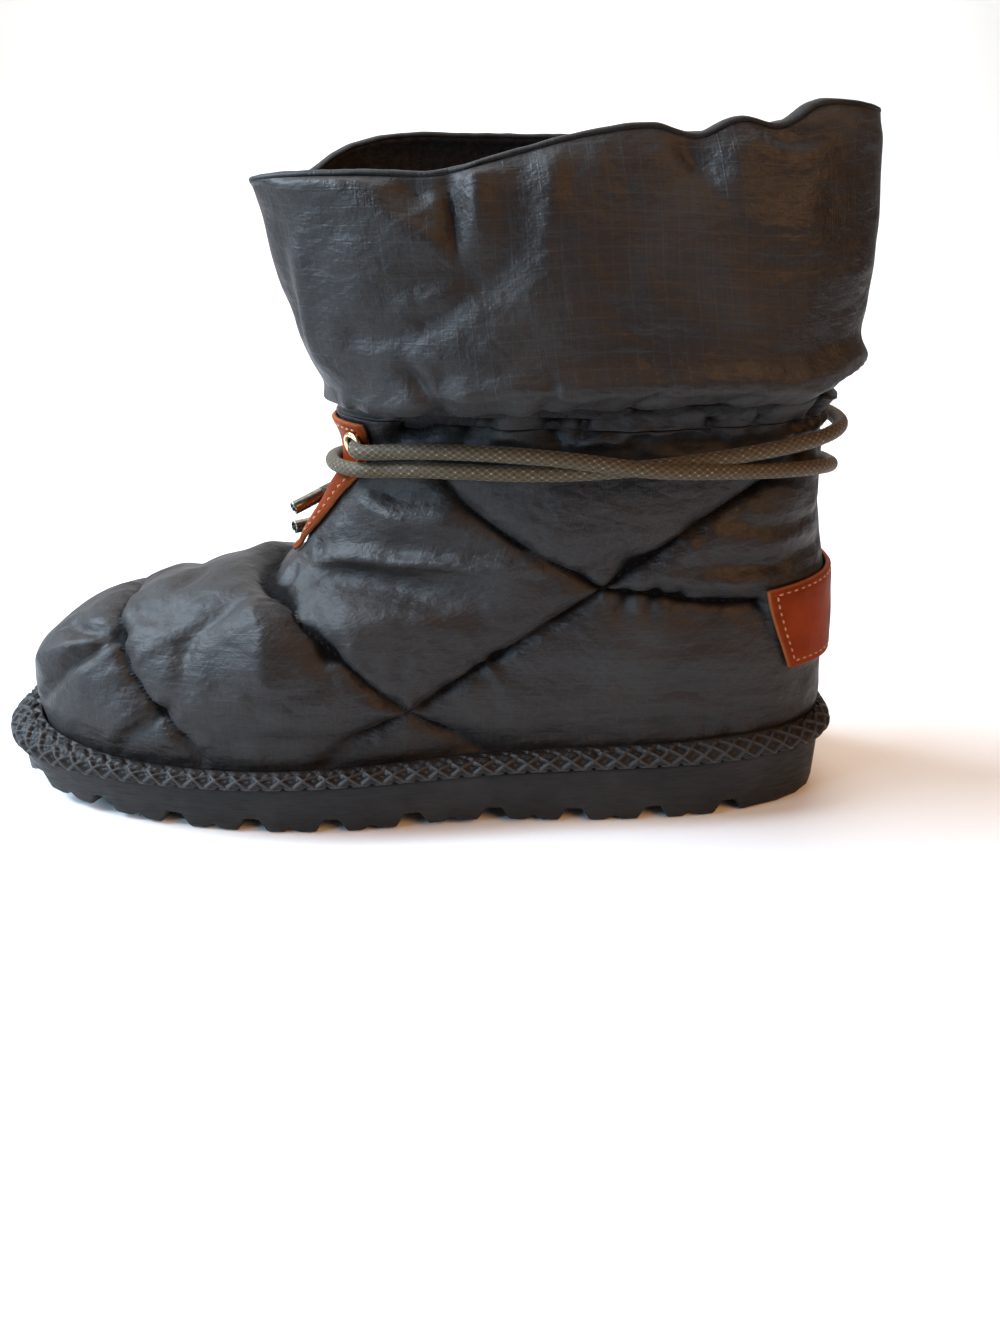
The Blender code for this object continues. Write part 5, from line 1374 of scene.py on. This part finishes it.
class BOOT_OT_shaft(bpy.types.Operator):
    """Padded cuff above the ankle, with the facet and the soft dents of the photo"""

    bl_idname = "boot.shaft"
    bl_label = "Padded shaft"
    around = 460
    rows = 96
    lining_rows = 26
    # levels: the lining's bumps fade this far from its edges, and the hem's folds are this high in all
    lining_edge = 1.5
    hem_levels, hem_rise, hem_fall = 3.0, 0.4, 1.5
    # folds end over these levels at the collar, where this share of them is left
    collar_fade = 0.8
    collar_folds = 0.35
    # the collar's tape: half its height, its middle over the wall's edge, its width as a share of the
    # wall's, and its grain
    tape_sides = 14
    tape_half, tape_rise, tape_wider = 0.0011, 0.0005, 1.04
    tape_grain, tape_grain_size = 0.00018, 0.004

    def execute(self, context):
        leg = Leg()
        turns = spaced_turns(self.around)
        places = np.meshgrid(np.linspace(SEAM_LEVEL, TOP_LEVEL, self.rows), turns, indexing="ij")
        outside, base, height = folded_cloth(leg, *places, 0.0, self.edge_fade)
        levels = np.linspace(SEAM_LEVEL, TOP_LEVEL, self.lining_rows)
        level, turn = np.meshgrid(levels, turns, indexing="ij")
        inside = leg.lining(level, turn, leg.size.shaft_wall + LINING_SET_IN * self.hem(level))
        dip = within(level, SEAM_LEVEL, TOP_LEVEL, self.lining_edge, self.lining_edge)
        bumps = wave(inside.reshape(-1, 3), LINING_GRAIN, 21).reshape(level.shape)
        inside += leg.normal(level, turn) * (LINING_BUMP * dip * bumps)[..., None]
        outside[..., 2] += GAP
        inside[..., 2] += GAP
        made = wall_object("padded_shaft", outside, inside, base, height, ripstop_nylon(), fleece())
        finish_piece(made, "nylon", "shaft")
        self.bind_collar(outside[-1], inside[-1])
        return {"FINISHED"}

    def edge_fade(self, level):
        below = soft_step((TOP_LEVEL - level) / self.collar_fade)
        return self.collar_folds + (1 - self.collar_folds) * below

    def hem(self, level):
        """1 where the hem's folds are deep, so that the lining stands further in, and 0 elsewhere."""
        return within(level, SEAM_LEVEL, SEAM_LEVEL + self.hem_levels, self.hem_rise, self.hem_fall)

    def bind_collar(self, outer, inner):
        """Black tape folded over the collar's edge."""
        middle, reach = (outer + inner) / 2, (outer - inner) / 2
        rows = []
        for a in np.linspace(0, 2 * math.pi, self.tape_sides, endpoint=False):
            ring = middle + reach * self.tape_wider * math.cos(a)
            ring[:, 2] = outer[:, 2] + self.tape_rise + self.tape_half * math.sin(a)
            rows.append(ring)
        rows = np.array(rows)
        grain = wave(rows.reshape(-1, 3), self.tape_grain_size, 31).reshape(rows.shape[:2])
        rows[..., 2] += self.tape_grain * grain
        made = grid_object("collar_tape", rows, metric_uv(rows), closed_up=True)
        face_outwards(made)
        made.data.materials.append(binding_tape())
        finish_piece(made, "binding", "collar_binding")


class BOOT_OT_welt(bpy.types.Operator):
    """Moulded welt with its crossed ribs"""

    bl_idname = "boot.welt"
    bl_label = "Ribbed welt"
    around = 1800
    across = 44
    # the diamonds between crossed ribs: length round the sole and height
    diamond = (0.0070, 0.0052)
    rib_height = 0.0010
    rib_width = 0.15
    stud_width, stud_height = 0.20, 0.30
    plain_edge = 0.10
    middle_height = 0.6

    def execute(self, context):
        leg = Leg()
        turn = spaced_turns(self.around)
        share = (1 - np.cos(turn)) / 2
        table = np.array(DECK)
        seat = leg.deck_height(share) + GAP
        rise = WELT_HEIGHT * smooth_through(table[:, 0], table[:, 2], share)
        top_level = rise / (leg.base(np.ones(self.around), turn)[:, 2] - seat)
        inner_low = leg.point(np.zeros(self.around), turn, np.full(self.around, WELT_GAP))
        inner_low[:, 2] = seat
        inner_top = leg.point(top_level, turn, np.full(self.around, WELT_GAP))
        side = [
            np.column_stack([leg.sole_outline(turn, (out - 1) * WELT_OVERHANG), seat + up * rise])
            for out, up in WELT_PROFILE
        ]
        crown = inner_top + (side[-1] - inner_top) * CROWN_OUT
        crown[:, 2] = np.maximum(inner_top[:, 2], side[-1][:, 2]) + CROWN_RISE * rise
        knots = np.array([*side, crown, inner_top])
        places = np.linspace(0, 1, len(knots))
        show = np.linspace(0, 1, self.across)
        rows = smooth_through(places, np.moveaxis(knots, 0, -1), show)
        rows = np.moveaxis(rows, -1, 0)
        up = np.gradient(rows, axis=0)
        round_it = np.gradient(np.concatenate([rows[:, -1:], rows, rows[:, :1]], 1), axis=1)[:, 1:-1]
        normal = unit(np.cross(up, round_it))
        away = rows - rows.mean((0, 1))
        normal *= np.sign((normal * away)[..., :2].sum(-1))[..., None]
        v = np.cumsum(np.linalg.norm(np.diff(rows, axis=0, prepend=rows[:1]), axis=2), 0)
        middle = rows[self.across // 2]
        u = distances(middle)
        total = u[-1] + np.linalg.norm(middle[0] - middle[-1])
        u = np.broadcast_to(u * round(total / self.diamond[0]) / total, v.shape)
        w = v / self.diamond[1]

        def rib(a, width):
            return np.clip(1 - np.abs((a + 0.5) % 1 - 0.5) / width, 0, 1)

        lattice = np.minimum(1, 2.0 * np.maximum(rib(u + w, self.rib_width), rib(u - w, self.rib_width)))
        studs = 0.5 * rib(2 * u, self.stud_width) * rib(2 * w, self.stud_height)
        edge = within(show, 0, 1, self.plain_edge, self.plain_edge)
        height = np.maximum(lattice, studs) * edge[:, None]
        rows = rows + normal * (self.rib_height * (height - self.middle_height))[..., None]
        half_way = 0.5 * (inner_low + inner_top)
        rows = np.concatenate([rows, half_way[None], inner_low[None]], 0)
        made = grid_object("ribbed_welt", rows, metric_uv(rows), closed_up=True)
        # The ribs' heights, kept for the painted highlight on their crests.
        values = np.zeros(rows.shape[:2])
        values[: self.across] = height
        point_values(made, "rib", values.ravel())
        face_outwards(made)
        made.data.materials.append(welt_rubber())
        finish_piece(made, "welt_rubber", "welt")
        return {"FINISHED"}


class BOOT_OT_sole(bpy.types.Operator):
    """Foam sole with rounded lugs, and the footbed"""

    bl_idname = "boot.sole"
    bl_label = "Sole and footbed"
    rounding: length_property("Rounding", "Radius of the lugs' edges", 0.0007)
    merged_within = 0.00002
    # degrees: faces this flat are joined, and edges sharper than the others are rounded and kept crisp
    flat_within, round_from, crisp_from = 1.5, 24, 34

    def execute(self, context):
        source = bpy.data.objects["outsole"]
        made = linked("foam_outsole", source.data.copy())
        work = bmesh.new()
        work.from_mesh(made.data)
        bmesh.ops.remove_doubles(work, verts=work.verts, dist=self.merged_within)
        bmesh.ops.dissolve_limit(
            work, angle_limit=math.radians(self.flat_within), verts=work.verts, edges=work.edges)
        work.to_mesh(made.data)
        work.free()
        deselect()
        made.select_set(True)
        context.view_layer.objects.active = made
        round_edges(made, self.rounding, 2, self.round_from)
        bpy.ops.object.shade_smooth_by_angle(angle=math.radians(self.crisp_from))
        made.data.materials.clear()
        made.data.materials.append(foam_rubber())
        finish_piece(made, "foam_rubber", "outsole")
        bpy.data.objects["insole"].material_slots[0].material = fleece()
        return {"FINISHED"}


class BOOT_OT_leather(bpy.types.Operator):
    """Stitched instep panel and heel patch"""

    bl_idname = "boot.leather"
    bl_label = "Leather panel and patch"

    def execute(self, context):
        leg = Leg()
        low, high = PANEL_LEVELS

        def panel_place(up, across):
            level = low + (high - low) * up
            return level, math.pi + leg.panel_turn(level, across * leg.panel_half(level))

        def patch_place(up, across):
            bottom, top = PATCH_LEVELS
            level = bottom + (top - bottom) * up - PATCH_DROP * up * across ** 2
            return level, across * (PATCH_TURNS[0] + (PATCH_TURNS[1] - PATCH_TURNS[0]) * up)

        sewn = ("left", "right", "top")
        self.sheet(leg, "leather_panel", panel_place, "instep_panel", (70, 44), sewn)
        self.sheet(leg, "leather_heel", patch_place, "heel_patch", (48, 96), sewn + ("bottom",))
        return {"FINISHED"}

    def sheet(self, leg, name, place, node, fineness, sewn):
        """A leather sheet with rounded edges, on the leg's surface, and the stitches round it."""
        rows, columns = fineness
        up, across = np.meshgrid(np.linspace(0, 1, rows), np.linspace(-1, 1, columns), indexing="ij")
        level, turn = place(soft_ends(up, 0, 1), soft_ends(across, -1, 1))
        flat = leg.base(level, turn)
        edges = (flat[:1], flat[-1:], flat[:, :1], flat[:, -1:])
        from_edge = np.min([np.linalg.norm(flat - edge, axis=2) for edge in edges], 0)
        near = np.clip(1 - from_edge / LEATHER_ROUND, 0, 1)
        thick = LEATHER * (LEATHER_EDGE + (1 - LEATHER_EDGE) * np.sqrt(1 - near ** 2))
        deep, wide = STITCH_GROOVE
        groove = deep * np.exp(-(((from_edge - STITCH_INSET) / wide) ** 2))
        high, size = LEATHER_UNEVEN
        uneven = high * wave(flat.reshape(-1, 3), size, 51).reshape(flat.shape[:2])
        over = leg.point(level, turn, OVERLAY_GAP + thick - groove + uneven * (1 - near))
        under = leg.point(level, turn, np.full(level.shape, OVERLAY_GAP))
        count = rows * columns
        points = np.concatenate([over.reshape(-1, 3), under.reshape(-1, 3)])
        faces = []
        for r in range(rows - 1):
            for c in range(columns - 1):
                a = r * columns + c
                quad = (a, a + 1, a + columns + 1, a + columns)
                faces.append(quad)
                faces.append(tuple(i + count for i in quad))
        index = np.arange(count).reshape(rows, columns)
        ring = [*index[0], *index[1:, -1], *index[-1, -2::-1], *index[-2:0:-1, 0]]
        for a, b in zip(ring, ring[1:] + ring[:1]):
            faces.append((a, b, b + count, a + count))
        made = smooth_object(name, points, faces, tan_leather())
        point_values(made, "edge", np.concatenate([soft_step((near - 0.55) / 0.4).ravel(), np.ones(count)]))
        finish_piece(made, "leather", node)
        self.stitches(leg, name, place, sewn)

    def stitches(self, leg, name, place, sewn):
        """Stitches a little inside each sewn edge."""
        fine = np.linspace(0, 1, 300)
        inset_up = STITCH_INSET / distances(leg.base(*place(fine, np.zeros(300))))[-1]

        def half_width(up, side):
            edge, middle = np.full(len(up), float(side)), np.zeros(len(up))
            return np.linalg.norm(leg.base(*place(up, edge)) - leg.base(*place(up, middle)), axis=1)

        points = 400
        centres, along, normals = [], [], []
        for edge in sewn:
            if edge in ("left", "right"):
                side = -1 if edge == "left" else 1
                up = np.linspace(inset_up, 1 - inset_up, points)
                across = side * np.clip(1 - STITCH_INSET / half_width(up, side), 0, 1)
            else:
                up = np.full(points, 1 - inset_up if edge == "top" else inset_up)
                across = np.linspace(-1, 1, points) * (1 - STITCH_INSET / half_width(up[:1], 1)[0])
            level, turn = place(up, across)
            line = leg.point(level, turn, np.full(points, OVERLAY_GAP + LEATHER - STITCH_SUNK))
            travelled = distances(line)
            count = max(2, round(travelled[-1] / STITCH_PITCH))
            at = (np.arange(count) + 0.5) * travelled[-1] / count
            spot = spots_along(at, travelled, line)
            centres += list(spot)
            along += list(unit(spots_along(at + STITCH_AHEAD, travelled, line) - spot))
            normals += list(leg.normal(np.interp(at, travelled, level), np.interp(at, travelled, turn)))
        made = capsules(
            name + "_stitches", centres, along, normals, STITCH_LENGTH, STITCH_WIDTH, light_thread())
        finish_piece(made, "leather")


def soft_ends(values, low, high):
    """Moves evenly spaced values closer together near both ends."""
    u = (values - low) / (high - low)
    return low + (high - low) * (0.45 * u + 0.55 * (1 - np.cos(np.pi * u)) / 2)


class BOOT_OT_eyelets(bpy.types.Operator):
    """Rolled brass eyelets in the panel's top corners"""

    bl_idname = "boot.eyelets"
    bl_label = "Eyelets"
    hole_margin = 0.0002
    hole_lift = 0.0001

    def execute(self, context):
        leg = Leg()
        thick = (EYELET_OUTER - EYELET_HOLE) / 4
        for side, node in ((-1, "eyelet_outer"), (1, "eyelet_inner")):
            centre, normal, across, up = leg.eyelet_frame(side)
            made = primitive(
                bpy.ops.mesh.primitive_torus_add, "rolled_" + node, major_radius=EYELET_OUTER / 2 - thick,
                minor_radius=thick, major_segments=48, minor_segments=16)
            made.data.transform(Matrix.Diagonal((1, 1, EYELET_HEIGHT / (2 * thick), 1)))
            placed(made, centre + normal * EYELET_HEIGHT / 2, across, up, normal)
            made.data.shade_smooth()
            made.data.materials.append(rolled_brass())
            # Painted shade: a thin black disc fills the eyelet's hole and stands for its dark opening; it
            # takes the binding tape's black.
            hole_shade_disc = primitive(
                bpy.ops.mesh.primitive_cylinder_add, "hole_shade_disc", vertices=32,
                radius=EYELET_HOLE / 2 + self.hole_margin, depth=2 * self.hole_margin, end_fill_type="NGON")
            placed(hole_shade_disc, centre + normal * self.hole_lift, across, up, normal)
            hole_shade_disc.data.materials.append(binding_tape())
            deselect()
            hole_shade_disc.select_set(True)
            made.select_set(True)
            context.view_layer.objects.active = made
            bpy.ops.object.join()
            finish_piece(made, "brass", node)
        return {"FINISHED"}


class BOOT_OT_cord(bpy.types.Operator):
    """Braided cord twice round the ankle, its knot, its free ends and their turned tips"""

    bl_idname = "boot.cord"
    bl_label = "Ankle cord"
    step = 0.00045
    around = 20
    braid_height, braid_middle = 0.055, 0.35
    # a strand starts this deep in its eyelet and leaves it this far over the rim
    eyelet_depth, eyelet_rise, eyelet_lean = 0.0012, 0.0006, 0.10
    # the tips: rim and hollow as shares of diameter and length, rounding, and overlap with the cord
    tip_rim, tip_hollow, tip_rounding, tip_overlap = 0.16, 0.12, 0.00035, 0.0004

    def braid(self, angles, travelled):
        u = angles / (2 * math.pi) * YARNS
        v = travelled / YARN_PITCH
        left = np.abs((u + v) % 1 - 0.5)
        right = np.abs((u - v) % 1 - 0.5)
        return self.braid_height * (np.maximum(left, right) - self.braid_middle)

    def execute(self, context):
        leg = Leg()
        radius = leg.size.cord_diameter / 2
        strands = ((STRAND_FROM_OUTER, -1, CROSSING_LIFT, "outer"), (STRAND_FROM_INNER, 1, 0.0, "inner"))
        for rows, side, lift, name in strands:
            points = leg.strand(rows, side, lift)
            centre, normal = leg.eyelet_frame(side)[:2]
            inside = centre - normal * self.eyelet_depth
            lean = (points[4] - centre) * self.eyelet_lean
            mouth = centre + normal * (EYELET_HEIGHT + self.eyelet_rise) + lean
            line = resampled(np.vstack([inside, mouth, points[3:]]), self.step)
            cord = tube_object("ankle_strand_" + name, line, radius, self.around, self.braid)
            cord.data.materials.append(braided_cord())
            finish_piece(cord, "cord", "ankle_cord")
        for name in ("outer", "inner"):
            self.free_end(leg, name, radius)
        return {"FINISHED"}

    def free_end(self, leg, name, radius):
        """One free end, from its turns in the knot to its tip."""
        diameter = 2 * radius
        centre, axes = leg.knot()
        reach = np.array([KNOT_LENGTH, KNOT_THICKNESS, KNOT_THICKNESS]) / 2
        wraps = [centre + (np.array(row) * reach) @ axes for row in KNOT_WRAPS[name]]
        level, turn, stand = np.array(END_ROUTES[name]).T
        out = diameter * (0.5 + stand) + 2 * OVERLAY_GAP + LEATHER
        route = leg.point(level, turn, out)
        away = unit(route[0] - centre)
        scaled = np.array([KNOT_LENGTH - 2 * GAP, KNOT_THICKNESS, KNOT_THICKNESS])
        surface = 0.5 / np.linalg.norm((axes @ away) / scaled)
        first = centre + away * (surface + GAP)
        cad_line = resampled(np.vstack([first, route]), diameter / 2)
        left = np.linalg.norm(cad_line - cad_line[-1], axis=1)
        soft = cad_line[left > TIP_LENGTH + GAP]
        path = resampled(np.vstack([*wraps, soft[1:]]), self.step)
        axis = unit(path[-1] - path[-8])
        cord = tube_object("free_end_" + name, path, radius, self.around, self.braid)
        cord.data.materials.append(braided_cord())
        nodes = ("cord_end_" + name, "cord_knot") if name == "outer" else ("cord_end_" + name,)
        finish_piece(cord, "cord", *nodes)
        tip = self.tip(name, path[-1], axis)

    def tip(self, name, start, axis):
        """A turned metal tip with rounded edges and a hollow far end."""
        made = primitive(
            bpy.ops.mesh.primitive_cylinder_add, "turned_tip_" + name, vertices=40, radius=TIP_DIAMETER / 2,
            depth=TIP_LENGTH, end_fill_type="NGON")
        bpy.ops.object.mode_set(mode="EDIT")
        bpy.ops.mesh.select_all(action="DESELECT")
        work = bmesh.from_edit_mesh(made.data)
        for face in work.faces:
            face.select = face.normal.z > 0.9
        bmesh.update_edit_mesh(made.data)
        bpy.ops.mesh.inset(thickness=self.tip_rim * TIP_DIAMETER, depth=0)
        bpy.ops.mesh.extrude_region_move(
            TRANSFORM_OT_translate={"value": (0, 0, -self.tip_hollow * TIP_LENGTH)})
        bpy.ops.object.mode_set(mode="OBJECT")
        round_edges(made, self.tip_rounding, 3, 40)
        bpy.ops.object.shade_smooth_by_angle(angle=math.radians(35))
        across = unit(np.cross(axis, [0, 0, 1]))
        middle = start + axis * (TIP_LENGTH / 2 - self.tip_overlap)
        placed(made, middle, across, np.cross(axis, across), axis)
        made.data.materials.append(turned_gunmetal())
        return finish_piece(made, "gunmetal", "cord_tip_" + name)


class BOOT_OT_stage(bpy.types.Operator):
    """Pale floor, soft studio lights and the camera at the photo's angle"""

    bl_idname = "boot.stage"
    bl_label = "Stage"
    camera_place = (0.0, -0.3164, 0.185)
    camera_tilt = 65.0
    image_height, focal_pixels = 1333, 1003
    # the floor turns up behind the boot, through a quarter circle of 1 m
    floor_width, floor_front, floor_length, bend_from, quarter = 7.0, -1.6, 5.2, 1.2, 1.57
    # name, place, aimed at, size, watts, spread in degrees, colour
    lamps = (
        ("window", (-1.00, 0.10, 1.00), (-0.02, 0.0, 0.06), 0.90, 10.6, 70, (0.70, 0.85, 1.0)),
        ("sky_left", (-1.20, -0.70, 0.50), (-0.05, 0.0, 0.06), 0.50, 2.0, 70, (0.55, 0.78, 1.0)),
        ("warm_right", (0.80, -0.70, 0.95), (0.05, 0.0, 0.10), 0.80, 2.0, 70, (1.0, 0.52, 0.22)),
        ("ceiling", (0.0, 1.20, 1.70), (0.0, 0.55, 0.0), 2.00, 12.0, 130, (1.0, 0.94, 0.88)),
        ("backdrop", (0.0, 0.60, 1.60), (0.0, 2.10, 0.30), 1.60, 26.0, 120, (1.0, 0.99, 0.98)),
    )

    def execute(self, context):
        leg = Leg()
        scene = context.scene
        floor = primitive(
            bpy.ops.mesh.primitive_grid_add, "floor", x_subdivisions=8, y_subdivisions=48, size=1.0)
        for vertex in floor.data.vertices:
            across, back = vertex.co.x, vertex.co.y + 0.5
            run = self.floor_front + self.floor_length * back
            bend = max(0.0, run - self.bend_from)
            angle = min(bend, self.quarter)
            vertex.co = (
                across * self.floor_width, min(run, self.bend_from) + math.sin(angle),
                1 - math.cos(angle) + max(0.0, bend - self.quarter))
        floor.data.shade_smooth()
        floor.data.materials.append(pale_floor())
        for name, place, aim, size, watts, spread, color in self.lamps:
            data = bpy.data.lights.new(name, "AREA")
            data.size = size
            data.energy = watts
            data.spread = math.radians(spread)
            data.color = color
            lamp = linked(name, data)
            lamp.location = place
            lamp.rotation_euler = (Vector(aim) - Vector(place)).to_track_quat("-Z", "Y").to_euler()
        world = bpy.data.worlds.new("studio")
        world.use_nodes = True
        background = world.node_tree.nodes["Background"]
        background.inputs["Color"].default_value = (0.97, 0.98, 1.0, 1.0)
        background.inputs["Strength"].default_value = 0.05
        scene.world = world
        data = bpy.data.cameras.new("camera")
        data.sensor_width = 36.0
        data.sensor_fit = "AUTO"
        data.lens = self.focal_pixels / self.image_height * data.sensor_width
        data.clip_start = 0.01
        camera = linked("camera", data)
        camera.location = Vector(self.camera_place) + Vector(leg.place)
        camera.rotation_euler = (math.radians(self.camera_tilt), 0, 0)
        scene.camera = camera
        scene.view_settings.view_transform = "Standard"
        return {"FINISHED"}


class BOOT_PT_panel(bpy.types.Panel):
    """Lists the boot's pieces and sizes"""

    bl_label = "Quilted boot"
    bl_idname = "BOOT_PT_panel"
    bl_space_type = "VIEW_3D"
    bl_region_type = "UI"
    bl_category = "Boot"

    def draw(self, context):
        layout = self.layout
        for operator in OPERATORS:
            layout.operator(operator.bl_idname)
        for group in (context.scene.boot_sizes, context.scene.boot_colors):
            for name in group.__annotations__:
                layout.prop(group, name)


OPERATORS = (
    BOOT_OT_stage, BOOT_OT_cord, BOOT_OT_upper, BOOT_OT_shaft, BOOT_OT_welt, BOOT_OT_sole,
    BOOT_OT_leather, BOOT_OT_eyelets,
)
CLASSES = (BootSizes, BootColors, *OPERATORS, BOOT_PT_panel)


def register():
    for cls in CLASSES:
        bpy.utils.register_class(cls)
    bpy.types.Scene.boot_sizes = PointerProperty(type=BootSizes)
    bpy.types.Scene.boot_colors = PointerProperty(type=BootColors)


def unregister():
    del bpy.types.Scene.boot_colors
    del bpy.types.Scene.boot_sizes
    for cls in reversed(CLASSES):
        bpy.utils.unregister_class(cls)


def main():
    register()
    bpy.ops.boot.stage()
    bpy.ops.boot.cord()
    bpy.ops.boot.upper()
    bpy.ops.boot.shaft()
    bpy.ops.boot.welt()
    bpy.ops.boot.sole()
    bpy.ops.boot.leather()
    bpy.ops.boot.eyelets()


if __name__ == "__main__":
    main()
